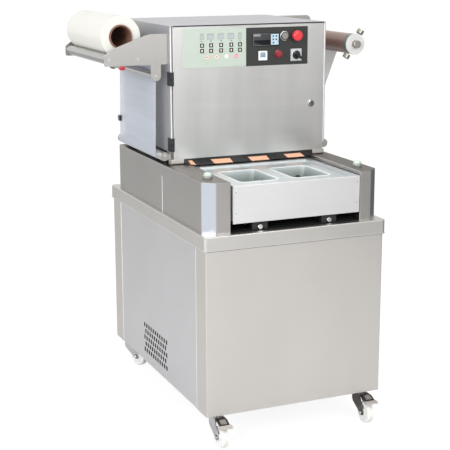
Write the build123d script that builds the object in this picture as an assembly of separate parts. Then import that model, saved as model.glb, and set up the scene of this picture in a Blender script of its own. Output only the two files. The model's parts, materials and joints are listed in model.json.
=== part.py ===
# Vacuum tray sealer on castors. A folded steel cabinet carries a worktop with two table
# housings; between them a die with two trays slides on rods under a sealing head. Film runs
# from a reel on the left of the head, under the head and up to a rewinder on its right.
# Millimetres, +Z up, +X to the operator's right, +Y to the back. The origin is on the floor
# under the middle of the cabinet.
from build123d import *
import math
import os

os.makedirs("parts", exist_ok=True)

# Sheet and general clearances
sheet = 2.0
seat_gap = 0.3
running_gap = 0.05
shut_gap = 3.0

# Cabinet and worktop
cabinet_width = 700.0
cabinet_depth = 1022.0
castor_height = 118.0
worktop_top = 778.0
worktop_lip = 52.0
worktop_overhang = 7.0
worktop_corner = 12.0
cabinet_return = 92.0
panel_recess = 1.0
vent_columns = 11
vent_rows = 5
vent_pitch = (25.0, 26.0)
vent_slot = (10.0, 15.0)
vent_front = 400.0
vent_bottom = 44.0

# Table housings, one each side of the die
housing_inset = 7.0
channel_half = 254.0
channel_x = 6.5
housing_front_setback = 17.0
housing_back_setback = 73.0
housing_top = 959.0
housing_chamfer_left = 41.0
housing_chamfer_right = 37.0
housing_seam = 440.0

# Sealing head
head_width = 636.0
head_front_setback = 408.0
head_top = 1469.0
head_side_bottom = 1005.0
door_bottom = 979.0
door_depth = 22.0
door_hinge_side = 10.0
door_lock_side = 7.0
foot_width = 50.0
foot_depth = 30.0
frame_bar_depth = 26.0
strip_depth = 4.0
strip_setback = 4.0
strip_drop = 8.0
tool_width = 480.0
tool_height = 60.0

# Sliding die
drawer_gap = 5.5
drawer_front_setback = 10.0
drawer_plate = 5.0
drawer_bottom = 811.0
drawer_top = 945.0
die_depth = 404.0
die_rim = 26.0
die_front_rim = 8.0
die_wall = 12.0
die_recess = 8.0
die_floor = 14.0
carriage_plate = 8.0
tray_size = (163.0, 226.0)
tray_spacing = 209.0
tray_front = 80.0
tray_depth = 50.0
tray_lip = 7.0
tray_wall = 1.2
tray_corner = 22.0
tray_draft = 10.0
rod_radius = 10.0
rod_spacing = 273.0
rod_height = 11.0
rod_end_gap = 9.0
block_size = (60.0, 26.0, 26.0)
bearing_length = 50.0
bearing_clear = 5.0

# Film rollers and reel, placed in the XZ plane
film = 0.5
film_front_setback = 57.0
film_back_setback = 64.0
waste_front_setback = 227.0
roll_overhang = 10.0
core_overhang = 15.0
support_roller_r = 19.0
support_roller_x = (-541.0, -437.0)
support_roller_drop = 115.0
guide_roller_r = 12.0
guide_roller_x = -366.0
guide_roller_drop = 179.5
lower_roller_r = 16.5
lower_roller_x = 342.0
lower_roller_z = 992.0
axle_r = 5.0
reel_r = 75.0
reel_core_r = 43.0
reel_bore_r = 38.0
bracket_plate = 3.0
bracket_flange = 24.0
bracket_front_setback = 19.0
bracket_back_setback = 19.0
bracket_top = 29.0
bracket_height = 110.0
bracket_reach = 244.0
bracket_lug_r = 19.5
lower_carrier_setback = (4.0, 47.0)
lower_carrier_back = 29.0
end_plate = 5.0

# Rewinder
rewind_x = 465.0
rewind_drop = 93.0
rewind_core_r = 39.0
rewind_core_wall = 5.0
rewind_shaft_r = 15.0
rewind_collar = 28.0
rewind_disc = 3.0
rewind_front_setback = 30.0
rewind_back_setback = 45.0
rewind_hub = 20.0
rewind_flange = 20.0
rewind_bearing_r = 26.0
rewind_plate_drop = (159.0, 4.0)
thumb_screw_angle = 57.0

# Castors
wheel_r = 40.0
wheel_width = 28.0
castor_trail = 46.0
castor_inset = (55.0, 41.0)
castor_plate = (84.0, 66.0, 3.0)
castor_axle_r = 6.0
castor_race = (24.0, 9.5)
castor_pin_r = 6.0
crown_drop = 10.0
fork_sheet = 3.0
fork_gap = 3.0
fork_cheek_r = 20.0
pedal_width = 32.0
tongue_width = 50.0
brake_pad_width = 22.0
rear_left_swivel = 22.0

# Places worked out from the sizes above
left = -cabinet_width / 2
right = cabinet_width / 2
front = -cabinet_depth / 2
back = cabinet_depth / 2
worktop_under = worktop_top - worktop_lip
housing_out = right - housing_inset
housing_front = front + housing_front_setback
housing_back = back - housing_back_setback
seam_y = front + housing_seam
head_half = head_width / 2
head_front = front + head_front_setback
head_back = housing_back
front_bar_y = head_front + door_depth + 2
back_bar_y = head_back - sheet
die_front = front + drawer_front_setback + drawer_plate
die_back = die_front + die_depth
die_half = channel_half - drawer_gap
die_x = (channel_x - die_half, channel_x + die_half)
rod_x = (channel_x - rod_spacing / 2, channel_x + rod_spacing / 2)
support_roller_z = head_top - support_roller_drop
guide_roller_at = (guide_roller_x, head_top - guide_roller_drop)
rewind_z = head_top - rewind_drop
rewind_at = (rewind_x, rewind_z)
film_y = (head_front + film_front_setback, head_back - film_back_setback)
bracket_front_y = head_front + bracket_front_setback
bracket_back_y = head_back - bracket_back_setback
rewind_back_y = head_back - rewind_back_setback


def block(x, y, z):
    """A rectangular solid from its (low, high) pairs."""
    size = Box(x[1] - x[0], y[1] - y[0], z[1] - z[0])
    return Pos((x[0] + x[1]) / 2, (y[0] + y[1]) / 2, (z[0] + z[1]) / 2) * size


def bar_x(y, z, x, r):
    """A round bar along X between the two x values."""
    return Pos((x[0] + x[1]) / 2, y, z) * Rot(0, 90, 0) * Cylinder(r, x[1] - x[0])


def bar_y(x, z, y, r):
    """A round bar along Y between the two y values."""
    return Pos(x, (y[0] + y[1]) / 2, z) * Rot(90, 0, 0) * Cylinder(r, y[1] - y[0])


def bar_z(x, y, z, r):
    """A round bar along Z between the two z values."""
    return Pos(x, y, (z[0] + z[1]) / 2) * Cylinder(r, z[1] - z[0])


def xz_plane(y):
    """A drawing plane with sketch x along X and sketch y along Z; extrusion goes to the front."""
    return Plane(origin=(0, y, 0), x_dir=(1, 0, 0), z_dir=(0, -1, 0))


def yz_plane(x):
    """A drawing plane with sketch x along Y and sketch y along Z; extrusion goes to +X."""
    return Plane(origin=(x, 0, 0), x_dir=(0, 1, 0), z_dir=(1, 0, 0))


def save(name, *solids):
    """One STEP file for the node, holding each solid by itself."""
    pieces = [solid for shape in solids for solid in shape.solids()]
    shape = pieces[0] if len(pieces) == 1 else Compound(children=pieces)
    export_step(shape, f"parts/{name}.step")


def mirrored(solid):
    """The same piece on the other side of the machine."""
    return mirror(solid, about=Plane.YZ)


def cabinet_wrap(y_out, inward):
    """The front or back sheet of the cabinet, folded round both corners onto the sides."""
    y_in = y_out + inward * sheet
    y_end = y_out + inward * cabinet_return
    z = (castor_height, worktop_top - sheet)
    face = block((left, right), sorted((y_out, y_in)), z)
    sides = [block(x, sorted((y_out, y_end)), z) for x in ((left, left + sheet), (right - sheet, right))]
    return face + sides


def side_panel():
    """The left side panel between the wraps, set in a little, with its bank of vent slots."""
    x = (left + panel_recess, left + panel_recess + sheet)
    y = (front + cabinet_return + 1, back - cabinet_return - 1)
    panel = block(x, y, (castor_height + sheet, worktop_top - sheet))
    slots = []
    for row in range(vent_rows):
        z_slot = castor_height + vent_bottom + row * vent_pitch[1]
        step = row % 2 * vent_pitch[0] / 2
        for column in range(vent_columns - row % 2):
            y_slot = front + vent_front + step + column * vent_pitch[0]
            slots.append(block((left - 1, left + 5), (y_slot, y_slot + vent_slot[0]),
                               (z_slot, z_slot + vent_slot[1])))
    return panel - slots


def cabinet_floor():
    """The floor sheet inside the wraps, which carries the castor plates."""
    return block((left + 2 * sheet, right - 2 * sheet), (front + sheet, back - sheet),
                 (castor_height, castor_height + sheet))


def worktop():
    """The worktop sheet with its deep folded lip all round, corners welded and rounded."""
    outer = (cabinet_width + 2 * worktop_overhang, cabinet_depth + 2 * worktop_overhang)
    slab = Pos(0, 0, worktop_under + worktop_lip / 2) * Box(*outer, worktop_lip)
    slab = fillet(slab.edges().filter_by(Axis.Z), worktop_corner)
    slab = fillet(slab.faces().sort_by(Axis.Z)[-1].edges(), 4)
    hollow = Pos(0, 0, worktop_under + (worktop_lip - sheet) / 2) * Box(
        cabinet_width, cabinet_depth, worktop_lip - sheet)
    return slab - hollow


def housing_profile(side, inset):
    """The plan of a table housing, seen from above, with its cut front corner."""
    x0 = side * (housing_out - inset)
    x1 = channel_x + side * (channel_half + inset)
    y0 = housing_front + inset
    chamfer_size = housing_chamfer_left if side < 0 else housing_chamfer_right
    cut = chamfer_size - inset * (2 - math.sqrt(2))
    return [(x0, y0 + cut), (x0 - side * cut, y0), (x1, y0), (x1, seam_y), (x0, seam_y)]


def front_housing(side):
    """The front part of a table housing: a folded cover, open at the bottom and the back."""
    z0 = worktop_top
    outer = extrude(Pos(0, 0, z0) * make_face(Polyline(housing_profile(side, 0), close=True)),
                    housing_top - z0)
    inner_points = [(x, y + 5 if y == seam_y else y) for x, y in housing_profile(side, sheet)]
    inner = extrude(Pos(0, 0, z0) * make_face(Polyline(inner_points, close=True)),
                    housing_top - z0 - sheet)
    return outer - inner


def rear_housing(side):
    """The rear part of a table housing, a plain folded cover closed at the back."""
    seam = 1.0
    x = sorted((side * housing_out, channel_x + side * channel_half))
    y = (seam_y + seam, housing_back)
    outer = block(x, y, (worktop_top, housing_top))
    inner = block((x[0] + sheet, x[1] - sheet), (y[0] - 5, y[1] - sheet),
                  (worktop_top - 1, housing_top - sheet))
    return outer - inner


def rear_cover():
    """The cover that closes the channel between the housings at the back."""
    x = (channel_x - channel_half + seat_gap, channel_x + channel_half - seat_gap)
    wall = block(x, (housing_back - sheet, housing_back), (worktop_top, housing_top))
    shelf = block(x, (housing_back - 60, housing_back - sheet), (housing_top - sheet, housing_top))
    return wall + shelf


# Cabinet, worktop and table housings
save("cabinet_front_and_back", cabinet_wrap(front, 1), cabinet_wrap(back, -1))
save("cabinet_side_panels", side_panel(), mirrored(side_panel()))
save("cabinet_floor", cabinet_floor())
save("worktop", worktop())
save("table_housings_front", front_housing(-1), front_housing(1))
save("table_housings_rear", rear_housing(-1), rear_housing(1), rear_cover())


def slide_supports():
    """Four pedestals on the worktop that hold the ends of the two guide rods."""
    width, depth, height = block_size
    blocks = []
    for x in rod_x:
        for y in (housing_front + 15, housing_back - sheet - seat_gap - depth):
            body = block((x - width / 2, x + width / 2), (y, y + depth),
                         (worktop_top, worktop_top + height))
            body -= bar_y(x, worktop_top + rod_height, (y - 1, y + depth + 1), rod_radius)
            blocks.append(fillet(body.edges().filter_by(Axis.Y).group_by(Axis.Z)[-1], 5))
    return blocks


def guide_rods():
    """The two ground rods that the die slides on, with eased ends."""
    y = (housing_front + rod_end_gap, housing_back - sheet - 1)
    rods = [bar_y(x, worktop_top + rod_height, y, rod_radius) for x in rod_x]
    return [chamfer(rod.edges().filter_by(GeomType.CIRCLE), 2) for rod in rods]


def slide_carriage():
    """The plate under the die with four bearings that run on the rods."""
    width = block_size[0]
    carriage = block(die_x, (die_front, die_back), (drawer_bottom, drawer_bottom + carriage_plate))
    for x in rod_x:
        for y in (die_front + 70, die_back - 40 - bearing_length):
            end = y + bearing_length
            carriage += block((x - width / 2, x + width / 2), (y, end),
                              (worktop_top + bearing_clear, drawer_bottom))
            carriage -= bar_y(x, worktop_top + rod_height, (y - 1, end + 1), rod_radius + running_gap)
    return carriage


def tray_centres():
    """Middle of each tray pocket in plan."""
    y = die_front + tray_front + tray_size[1] / 2
    return [(channel_x - tray_spacing / 2, y), (channel_x + tray_spacing / 2, y)]


def tray_loft(grow, top, bottom):
    """A tray-shaped solid with drafted walls and round corners, larger by grow all round."""
    solids = []
    for x, y in tray_centres():
        wide = tray_size[0] - 2 * tray_lip + 2 * grow
        long = tray_size[1] - 2 * tray_lip + 2 * grow
        upper = Pos(x, y, top) * RectangleRounded(wide, long, tray_corner + grow)
        lower = Pos(x, y, bottom) * RectangleRounded(
            wide - 2 * tray_draft, long - 2 * tray_draft, tray_corner + grow - tray_draft / 2)
        solids.append(loft([upper, lower]))
    return solids


def tray_die():
    """The cast lower tool: an open chamber with a raised rim and two pockets for the trays."""
    die_bottom = drawer_bottom + carriage_plate
    outer = block(die_x, (die_front, die_back), (die_bottom, drawer_top))
    recess_z = drawer_top - die_recess
    recess = block((die_x[0] + die_rim, die_x[1] - die_rim),
                   (die_front + die_front_rim, die_back - die_rim), (recess_z, drawer_top + 1))
    recess = fillet(recess.edges().filter_by(Axis.Z), 6)
    pocket_floor = recess_z - tray_depth - 2
    pockets = tray_loft(tray_wall + 0.6, recess_z + 1, pocket_floor)
    under = block((die_x[0] + die_wall, die_x[1] - die_wall),
                  (die_front + die_wall, die_back - die_wall),
                  (die_bottom - 1, pocket_floor - die_floor))
    return outer - recess - pockets - under


def trays():
    """Two formed trays with drafted walls and a flat lip that sits on the die."""
    lip_z = drawer_top - die_recess
    shells = []
    for index, (x, y) in enumerate(tray_centres()):
        lip = extrude(Pos(x, y, lip_z) * RectangleRounded(*tray_size, tray_corner + tray_lip), tray_wall)
        body = tray_loft(0, lip_z + tray_wall, lip_z - tray_depth)[index]
        hollow = tray_loft(-tray_wall, lip_z + tray_wall + 0.1, lip_z - tray_depth + tray_wall)[index]
        shells.append(lip + body - hollow)
    return shells


def drawer_front():
    """The bright front plate of the die with its folded bottom lip."""
    plate = block(die_x, (die_front - drawer_plate, die_front), (drawer_bottom, drawer_top))
    plate = fillet(plate.edges().filter_by(Axis.X).sort_by(Axis.Y)[:2], 2)
    return plate


# Sliding die and its rods
save("slide_supports", *slide_supports())
save("guide_rods", *guide_rods())
save("slide_carriage", slide_carriage())
save("tray_die", tray_die())
save("trays", *trays())
save("drawer_front", drawer_front())


def head_frame():
    """The two cross bars of the head, each standing on a rounded foot at either end."""
    bars = []
    front_bar = (front_bar_y, front_bar_y + frame_bar_depth)
    back_bar = (back_bar_y - frame_bar_depth, back_bar_y)
    for bar, foot in ((front_bar, (head_front, head_front + foot_depth)),
                      (back_bar, (head_back - foot_depth, head_back))):
        solid = block((-head_half, head_half), bar, (door_bottom, head_side_bottom))
        for x in ((-head_half, foot_width - head_half), (head_half - foot_width, head_half)):
            rounded = block(x, foot, (housing_top, door_bottom))
            solid += fillet(rounded.edges().filter_by(Axis.X).group_by(Axis.Z)[0], 6)
        bars.append(solid)
    return bars


def sealing_tool():
    """The heated upper tool, hung between the cross bars above the film."""
    y = (front_bar_y + frame_bar_depth, back_bar_y - frame_bar_depth)
    tool = block((-tool_width / 2, tool_width / 2), y, (door_bottom + 4, door_bottom + 4 + tool_height))
    return fillet(tool.edges().filter_by(Axis.Z), 0.5)


def head_side():
    """Left side panel of the head with its folded front edge."""
    z = (head_side_bottom, head_top - sheet)
    wall = block((-head_half, -head_half + sheet), (head_front, head_back - sheet), z)
    edge = block((-head_half, -head_half + door_hinge_side - shut_gap), (head_front, head_front + sheet), z)
    return wall + edge


def head_top_sheet():
    """Top sheet of the head, with eased edges."""
    top = block((-head_half, head_half), (head_front, head_back), (head_top - sheet, head_top))
    return fillet(top.faces().sort_by(Axis.Z)[-1].edges(), 1.5)


def head_back_sheet():
    """Back sheet of the head."""
    return block((-head_half, head_half), (head_back - sheet, head_back),
                 (door_bottom, head_top - sheet))


def front_strip():
    """The striped guard strip between the feet of the head, with a deeper part over the die."""
    half = head_half - foot_width
    y = (head_front + strip_setback, head_front + strip_setback + strip_depth)
    upper = block((-half, half), y, (housing_top + seat_gap, door_bottom))
    return upper + block(die_x, y, (housing_top - strip_drop, housing_top + seat_gap))


# Sealing head
save("head_frame", *head_frame())
save("sealing_tool", sealing_tool())
save("head_sides", head_side(), mirrored(head_side()))
save("head_top", head_top_sheet())
save("head_back", head_back_sheet())
save("front_strip", front_strip())

# Door of the head, with the panels and switches on it
door_left = -head_half + door_hinge_side
door_right = head_half - door_lock_side
door_top = head_top - sheet - shut_gap
hinge_r = 5.0
hinge_x = -head_half + hinge_r + 0.5
hinge_y = head_front - hinge_r - 1
hinge_leaf = 3.0
hinge_pin_r = 2.0
hinge_strap = 28.0
hinge_levels = ((door_bottom + 30, door_bottom + 80), (head_top - 217, head_top - 167))
panel_sheet = 1.5
switch_plate_size = 46.0

# Places on the door, as X and as the distance down from the top of the head
keypad_box = ((-269.0, -16.0), (head_top - 155, head_top - 13))
switch_panel_box = ((-15.5, 240.5), (head_top - 157, head_top - 15))
controller_box = ((11.0, 119.0), (head_top - 84, head_top - 36))
display_box = ((34.0, 70.0), (head_top - 137, head_top - 102))
switch_at = (190.0, head_top - 121)
stop_at = (188.5, head_top - 48.5)
start_at = (141.5, head_top - 49)
lamp_at = (115.5, head_top - 115)
lock_at = (257.0, door_bottom + 181)


def head_door():
    """The door: a folded tray with its hollow side to the inside."""
    outer = block((door_left, door_right), (head_front, head_front + door_depth),
                  (door_bottom, door_top))
    outer = fillet(outer.edges().filter_by(Axis.Z).sort_by(Axis.Y)[:2], 1.5)
    hollow = block((door_left + sheet, door_right - sheet), (head_front + sheet, head_front + door_depth + 1),
                   (door_bottom + sheet, door_top - sheet))
    return outer - hollow


def face_plate(box, thickness, lift=0.0):
    """A flat plate on the face of the door, from its X and Z ranges."""
    y = (head_front - lift - thickness, head_front - lift)
    return block(box[0], y, box[1])


def square_plate(at, size, thickness, lift):
    """A square plate centred on a point of the door."""
    half = size / 2
    box = ((at[0] - half, at[0] + half), (at[1] - half, at[1] + half))
    return face_plate(box, thickness, lift)


def on_door(at, start, length, r):
    """A round piece that stands out of the door, from the lift of its foot."""
    face = head_front - start
    return bar_y(at[0], at[1], (face - length, face), r)


save("head_door", head_door())
save("keypad_panel", face_plate(keypad_box, panel_sheet))
save("switch_panel", face_plate(switch_panel_box, panel_sheet))
save("temperature_controller", face_plate(controller_box, 6.0, panel_sheet))
save("pressure_display", face_plate(display_box, 3.0, panel_sheet))
save("alarm_lamp", on_door(lamp_at, panel_sheet, 4, 15) + on_door(lamp_at, panel_sheet, 14, 12))
save("switch_plate", square_plate(switch_at, switch_plate_size, 4.0, panel_sheet)
     + on_door(switch_at, panel_sheet + 4, 3, 18))
save("door_lock", on_door(lock_at, 0, 3, 14) + on_door(lock_at, 3, 3, 10))

# Buttons and the switch knob, each standing clear of what carries it by its travel
button_travel = 4.0
button_fit = 0.4
start_r = 13.0
stop_stem_r = 9.0
push_gap = button_travel + seat_gap


def start_pieces():
    """The start button in its round bezel."""
    bezel = on_door(start_at, panel_sheet, 5, start_r + 5.5)
    bezel = fillet(bezel.edges().sort_by(Axis.Y)[0], 2)
    bezel -= on_door(start_at, panel_sheet - 1, 8, start_r + button_fit)
    button = on_door(start_at, panel_sheet + push_gap, 5, start_r)
    return bezel, fillet(button.edges().sort_by(Axis.Y)[0], 1.5)


def stop_pieces():
    """The mushroom-headed stop button, its stem sliding in a collar."""
    collar = on_door(stop_at, panel_sheet, 8, stop_stem_r + 6)
    collar -= on_door(stop_at, panel_sheet - 1, 12, stop_stem_r + button_fit)
    head = on_door(stop_at, panel_sheet + 8 + push_gap, 17, 20)
    head = fillet(head.edges().sort_by(Axis.Y)[0], 9)
    stem = on_door(stop_at, panel_sheet + push_gap, 8, stop_stem_r)
    return collar, head + stem


start_bezel, start_button = start_pieces()
stop_collar, stop_button = stop_pieces()
save("button_bezels", start_bezel, stop_collar)
save("start_button", start_button)
save("emergency_stop", stop_button)
knob_lift = panel_sheet + 7 + seat_gap
knob = chamfer(on_door(switch_at, knob_lift, 6, 14).edges().sort_by(Axis.Y)[0], 1)
grip = Pos(switch_at[0], head_front - knob_lift - 13, switch_at[1]) * Rot(0, -45, 0) * Box(9, 16, 34)
save("switch_knob", knob + fillet(grip.edges().filter_by(Axis.Y), 3))


def hinge_pieces(on_the_door):
    """Door leaves with the two outer knuckles, or frame leaves with the middle one and the pin."""
    solids = []
    for z0, z1 in hinge_levels:
        third = (z1 - z0) / 3
        if on_the_door:
            spans = [(z0, z0 + third - seat_gap), (z1 - third + seat_gap, z1)]
            leaf = block((hinge_x, door_left + hinge_leaf), (head_front - hinge_leaf, head_front), (z0, z1))
        else:
            spans = [(z0 + third, z1 - third)]
            leaf = block((-head_half - hinge_leaf, -head_half), (hinge_y, head_front + hinge_strap), (z0, z1))
        body = leaf
        for span in spans:
            body += bar_z(hinge_x, hinge_y, span, hinge_r)
            if on_the_door:
                body += block((hinge_x, hinge_x + hinge_r), (hinge_y, head_front), span)
            else:
                body += block((-head_half - hinge_leaf, hinge_x), (hinge_y, hinge_y + hinge_leaf), span)
        if on_the_door:
            middle = (z0 + third - seat_gap, z1 - third + seat_gap)
            body -= block((hinge_x - 7, hinge_x + 7), (hinge_y - 7, hinge_y + 5.9), middle)
            body -= bar_z(hinge_x, hinge_y, (z0 - 1, z1 + 1), hinge_pin_r + running_gap)
        else:
            for span in ((z0 - 1, z0 + third), (z1 - third, z1 + 1)):
                body -= bar_z(hinge_x, hinge_y, span, hinge_r + 0.6)
            body += bar_z(hinge_x, hinge_y, (z0, z1), hinge_pin_r)
        solids += body.solids()
    return solids


save("hinge_door_leaves", *hinge_pieces(True))
save("hinge_frame_leaves", *hinge_pieces(False))

# Palm buttons on the table housings, each cap running in a bezel
palm_side_step = 5.5
palm_setback = 107.0
palm_r = 17.25
palm_cap_r = 13.5
palm_height = 15.0
palm_bezel = 10.0
bezels = []
for side, name in ((-1, "left"), (1, "right")):
    middle = (side * housing_out + channel_x + side * channel_half) / 2
    at = (middle + palm_side_step, housing_front + palm_setback)
    bezel = bar_z(*at, (housing_top, housing_top + palm_bezel), palm_r)
    bezel = fillet(bezel.edges().sort_by(Axis.Z)[-1], 2.5)
    bezels.append(bezel - bar_z(*at, (housing_top - 1, housing_top + 20), palm_cap_r + button_fit))
    cap = bar_z(*at, (housing_top + push_gap, housing_top + palm_height), palm_cap_r)
    save(f"palm_button_{name}", fillet(cap.edges().sort_by(Axis.Z)[-1], 2))
save("palm_button_bezels", *bezels)


def bracket_outline():
    """Outline of the film bracket plates: a long arm with a blunt nose and a hanging lug."""
    lug_x, lug_z = guide_roller_at
    x0 = -head_half - bracket_reach
    z0 = arm_z[0]
    z1 = arm_z[1]
    arm = make_face(Polyline([(-head_half, z1), (-head_half - 70, z1), (-head_half - 105, z1 - 10),
                              (x0 + 31, z1 - 49), (x0, z1 - 72), (x0, z0), (-head_half, z0)], close=True))
    arm = fillet(arm.vertices().sort_by(Axis.X)[:2], 8)
    lug = Pos(lug_x, (lug_z + z0 + 5) / 2) * Rectangle(2 * bracket_lug_r, z0 + 5 - lug_z)
    return arm + lug + Pos(lug_x, lug_z) * Circle(bracket_lug_r)


def film_bracket():
    """Both bracket plates with their flanges, the tie bar and the three fixed axles."""
    plates = []
    back_end = bracket_back_y + bracket_plate
    for y, flange in ((bracket_front_y, (bracket_front_y, bracket_front_y + bracket_flange)),
                      (bracket_back_y, (back_end - bracket_flange, back_end))):
        plate = extrude(xz_plane(y + bracket_plate) * bracket_outline(), bracket_plate)
        plates.append(plate + block((-head_half - bracket_plate, -head_half), flange, arm_z))
    tie_x = (reel_x - 9, reel_x + 9)
    frame = plates[0] + plates[1] + block(tie_x, inside, (arm_z[0], arm_z[0] + 12))
    for x, z in ((support_roller_x[0], support_roller_z), (support_roller_x[1], support_roller_z),
                 guide_roller_at):
        frame += bar_y(x, z, inside, axle_r)
    return frame


def roller(x, z, y, r):
    """A guide roller tube that turns on its fixed axle."""
    tube = bar_y(x, z, y, r)
    tube = chamfer(tube.edges().filter_by(GeomType.CIRCLE), 1)
    return tube - bar_y(x, z, (y[0] - 1, y[1] + 1), axle_r + running_gap)


arm_z = (head_top - bracket_top - bracket_height, head_top - bracket_top)
reel_x = sum(support_roller_x) / 2
inside = (bracket_front_y + bracket_plate, bracket_back_y)
roller_y = (inside[0] + 1, inside[1] - 1)
save("film_bracket", film_bracket())
save("support_roller_outer", roller(support_roller_x[0], support_roller_z, roller_y, support_roller_r))
save("support_roller_inner", roller(support_roller_x[1], support_roller_z, roller_y, support_roller_r))
save("upper_guide_roller", roller(*guide_roller_at, roller_y, guide_roller_r))

# Lower guide rollers, carried on end plates that bolt to the cross bars of the head
lower_front = {"left": head_front + lower_carrier_setback[0],
               "right": head_front + lower_carrier_setback[1]}
lower_back = head_back - lower_carrier_back
carrier_z = (door_bottom + 1, head_side_bottom - 3)


def lower_carrier(side, y_front):
    """Two end plates with the fixed axle between them, and the angles to the cross bars."""
    x = side * lower_roller_x
    arm_x = sorted((x, side * head_half))
    angle_x = sorted((side * head_half, side * (head_half + 3)))
    z = carrier_z
    carrier = bar_y(x, lower_roller_z, (y_front, lower_back), axle_r)
    for y in (y_front, lower_back - end_plate):
        carrier += bar_y(x, lower_roller_z, (y, y + end_plate), lower_roller_r)
        carrier += block(arm_x, (y, y + end_plate), z)
    carrier += block(angle_x, (min(y_front, front_bar_y), max(y_front + end_plate, front_bar_y + 16)), z)
    return carrier + block(angle_x, (lower_back - end_plate, back_bar_y), z)


carriers = []
for side, name in ((-1, "left"), (1, "right")):
    y_front = lower_front[name]
    carriers.append(lower_carrier(side, y_front))
    span = (y_front + end_plate + 1, lower_back - end_plate - 1)
    save(f"lower_roller_{name}", roller(side * lower_roller_x, lower_roller_z, span, lower_roller_r))
save("lower_roller_carriers", *carriers)


# Reel of film lying on the two support rollers
reach = reel_r + support_roller_r + seat_gap
reel_z = support_roller_z + math.sqrt(reach ** 2 - (reel_x - support_roller_x[0]) ** 2)
roll_y = (film_y[0] - roll_overhang, film_y[1] + roll_overhang)
reel_y = (film_y[0] - core_overhang, film_y[1] + core_overhang)
core = bar_y(reel_x, reel_z, reel_y, reel_core_r) - bar_y(
    reel_x, reel_z, (reel_y[0] - 1, reel_y[1] + 1), reel_bore_r)
roll = bar_y(reel_x, reel_z, roll_y, reel_r) - bar_y(
    reel_x, reel_z, (roll_y[0] - 1, roll_y[1] + 1), reel_core_r)
save("reel_core", core)
save("film_roll", roll)


def tangent(first, second):
    """End points of the straight film between two rollers, each (x, z, r, turn)."""
    dx, dz = second[0] - first[0], second[1] - first[1]
    lean = math.asin((second[3] * second[2] - first[3] * first[2]) / math.hypot(dx, dz))
    angle = math.atan2(dz, dx) - lean
    nx, nz = -math.sin(angle), math.cos(angle)
    return [(c[0] - c[3] * c[2] * nx, c[1] - c[3] * c[2] * nz) for c in (first, second)]


def around(circle, start, end):
    """The film's arc on a roller, between two of its own tangent points."""
    first = math.degrees(math.atan2(start[1] - circle[1], start[0] - circle[0]))
    last = math.degrees(math.atan2(end[1] - circle[1], end[0] - circle[0]))
    turn = (last - first) % 360 if circle[3] > 0 else -((first - last) % 360)
    return CenterArc(circle[:2], circle[2], first, turn)


def film_run(circles, y):
    """The film from the first roller to the last: straight between them, curved round the rest."""
    spans = [tangent(a, b) for a, b in zip(circles, circles[1:])]
    lines = [Line(*span) for span in spans]
    for roll, before, after in zip(circles[1:], spans, spans[1:]):
        lines.append(around(roll, before[1], after[0]))
    section = trace(lines, film)
    return extrude(xz_plane(y[1]) * section, y[1] - y[0])


lift = seat_gap + film / 2
off_reel = (reel_x, reel_z, reel_r + lift, -1)
over_guide = (*guide_roller_at, guide_roller_r + lift, -1)
under_left = (-lower_roller_x, lower_roller_z, lower_roller_r + lift, 1)
under_right = (lower_roller_x, lower_roller_z, lower_roller_r + lift, 1)
onto_core = (*rewind_at, rewind_core_r + lift, 1)
save("film_web", film_run([off_reel, over_guide, under_left, under_right], film_y))
waste_y = (head_front + waste_front_setback, film_y[1])
save("film_waste", film_run([under_right, onto_core], waste_y))


# Rewinder on its plate behind the right side of the head
rewind_y = head_front + rewind_front_setback
core_y = (rewind_y + rewind_disc + rewind_collar, rewind_back_y - 12)
rewind_tube = bar_y(rewind_x, rewind_z, core_y, rewind_core_r) - bar_y(
    rewind_x, rewind_z, (core_y[0] - 1, core_y[1] + 1), rewind_core_r - rewind_core_wall)
save("rewind_core", rewind_tube)
collar = bar_y(rewind_x, rewind_z, (rewind_y + rewind_disc, core_y[0]), rewind_core_r + 0.5)
collar -= bar_y(rewind_x, rewind_z, (rewind_y, core_y[0] + 1), rewind_shaft_r)
disc = bar_y(rewind_x, rewind_z, (rewind_y, rewind_y + rewind_disc), rewind_core_r + 2)
disc -= bar_y(rewind_x, rewind_z, (rewind_y - 1, rewind_y + rewind_disc + 1), rewind_shaft_r)
shaft = bar_y(rewind_x, rewind_z, (rewind_y - rewind_hub, rewind_back_y + bracket_plate + 12), rewind_shaft_r)
shaft = chamfer(shaft.edges().filter_by(GeomType.CIRCLE), 2)
thumb_reach = 62.0
thumb_stem_r = 3.5
thumb_head = (13.5, 15.0)
screws = []
screw_y = rewind_y + rewind_disc + rewind_collar / 2
for angle in (thumb_screw_angle, thumb_screw_angle + 180):
    stem = Pos(0, 0, thumb_reach / 2) * Cylinder(thumb_stem_r, thumb_reach)
    head = Pos(0, 0, thumb_reach - thumb_head[1] / 2) * Cylinder(*thumb_head)
    turned = Pos(rewind_x, screw_y, rewind_z) * Rot(0, 90 - angle, 0) * (stem + head)
    screws.append(turned)
    collar -= Pos(rewind_x, screw_y, rewind_z) * Rot(0, 90 - angle, 0) * stem
save("rewind_collar", collar)
save("rewind_disc", disc)
save("rewind_shaft", shaft + screws)
plate_y = (rewind_back_y, rewind_back_y + bracket_plate)
rewind_plate_z = (head_top - rewind_plate_drop[0], head_top - rewind_plate_drop[1])
rewind_plate = block((head_half, rewind_x + 42), plate_y, rewind_plate_z)
rewind_plate = fillet(rewind_plate.edges().filter_by(Axis.Y).group_by(Axis.X)[-1], 20)
rewind_plate += block((head_half, head_half + bracket_plate), (rewind_back_y - rewind_flange, rewind_back_y),
                      rewind_plate_z)
bearing_y = (plate_y[0] - 6, plate_y[1] + 6)
rewind_plate += bar_y(rewind_x, rewind_z, bearing_y, rewind_bearing_r)
rewind_plate -= bar_y(rewind_x, rewind_z, (bearing_y[0] - 1, bearing_y[1] + 1), rewind_shaft_r + running_gap)
save("rewind_bracket", rewind_plate)


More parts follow.
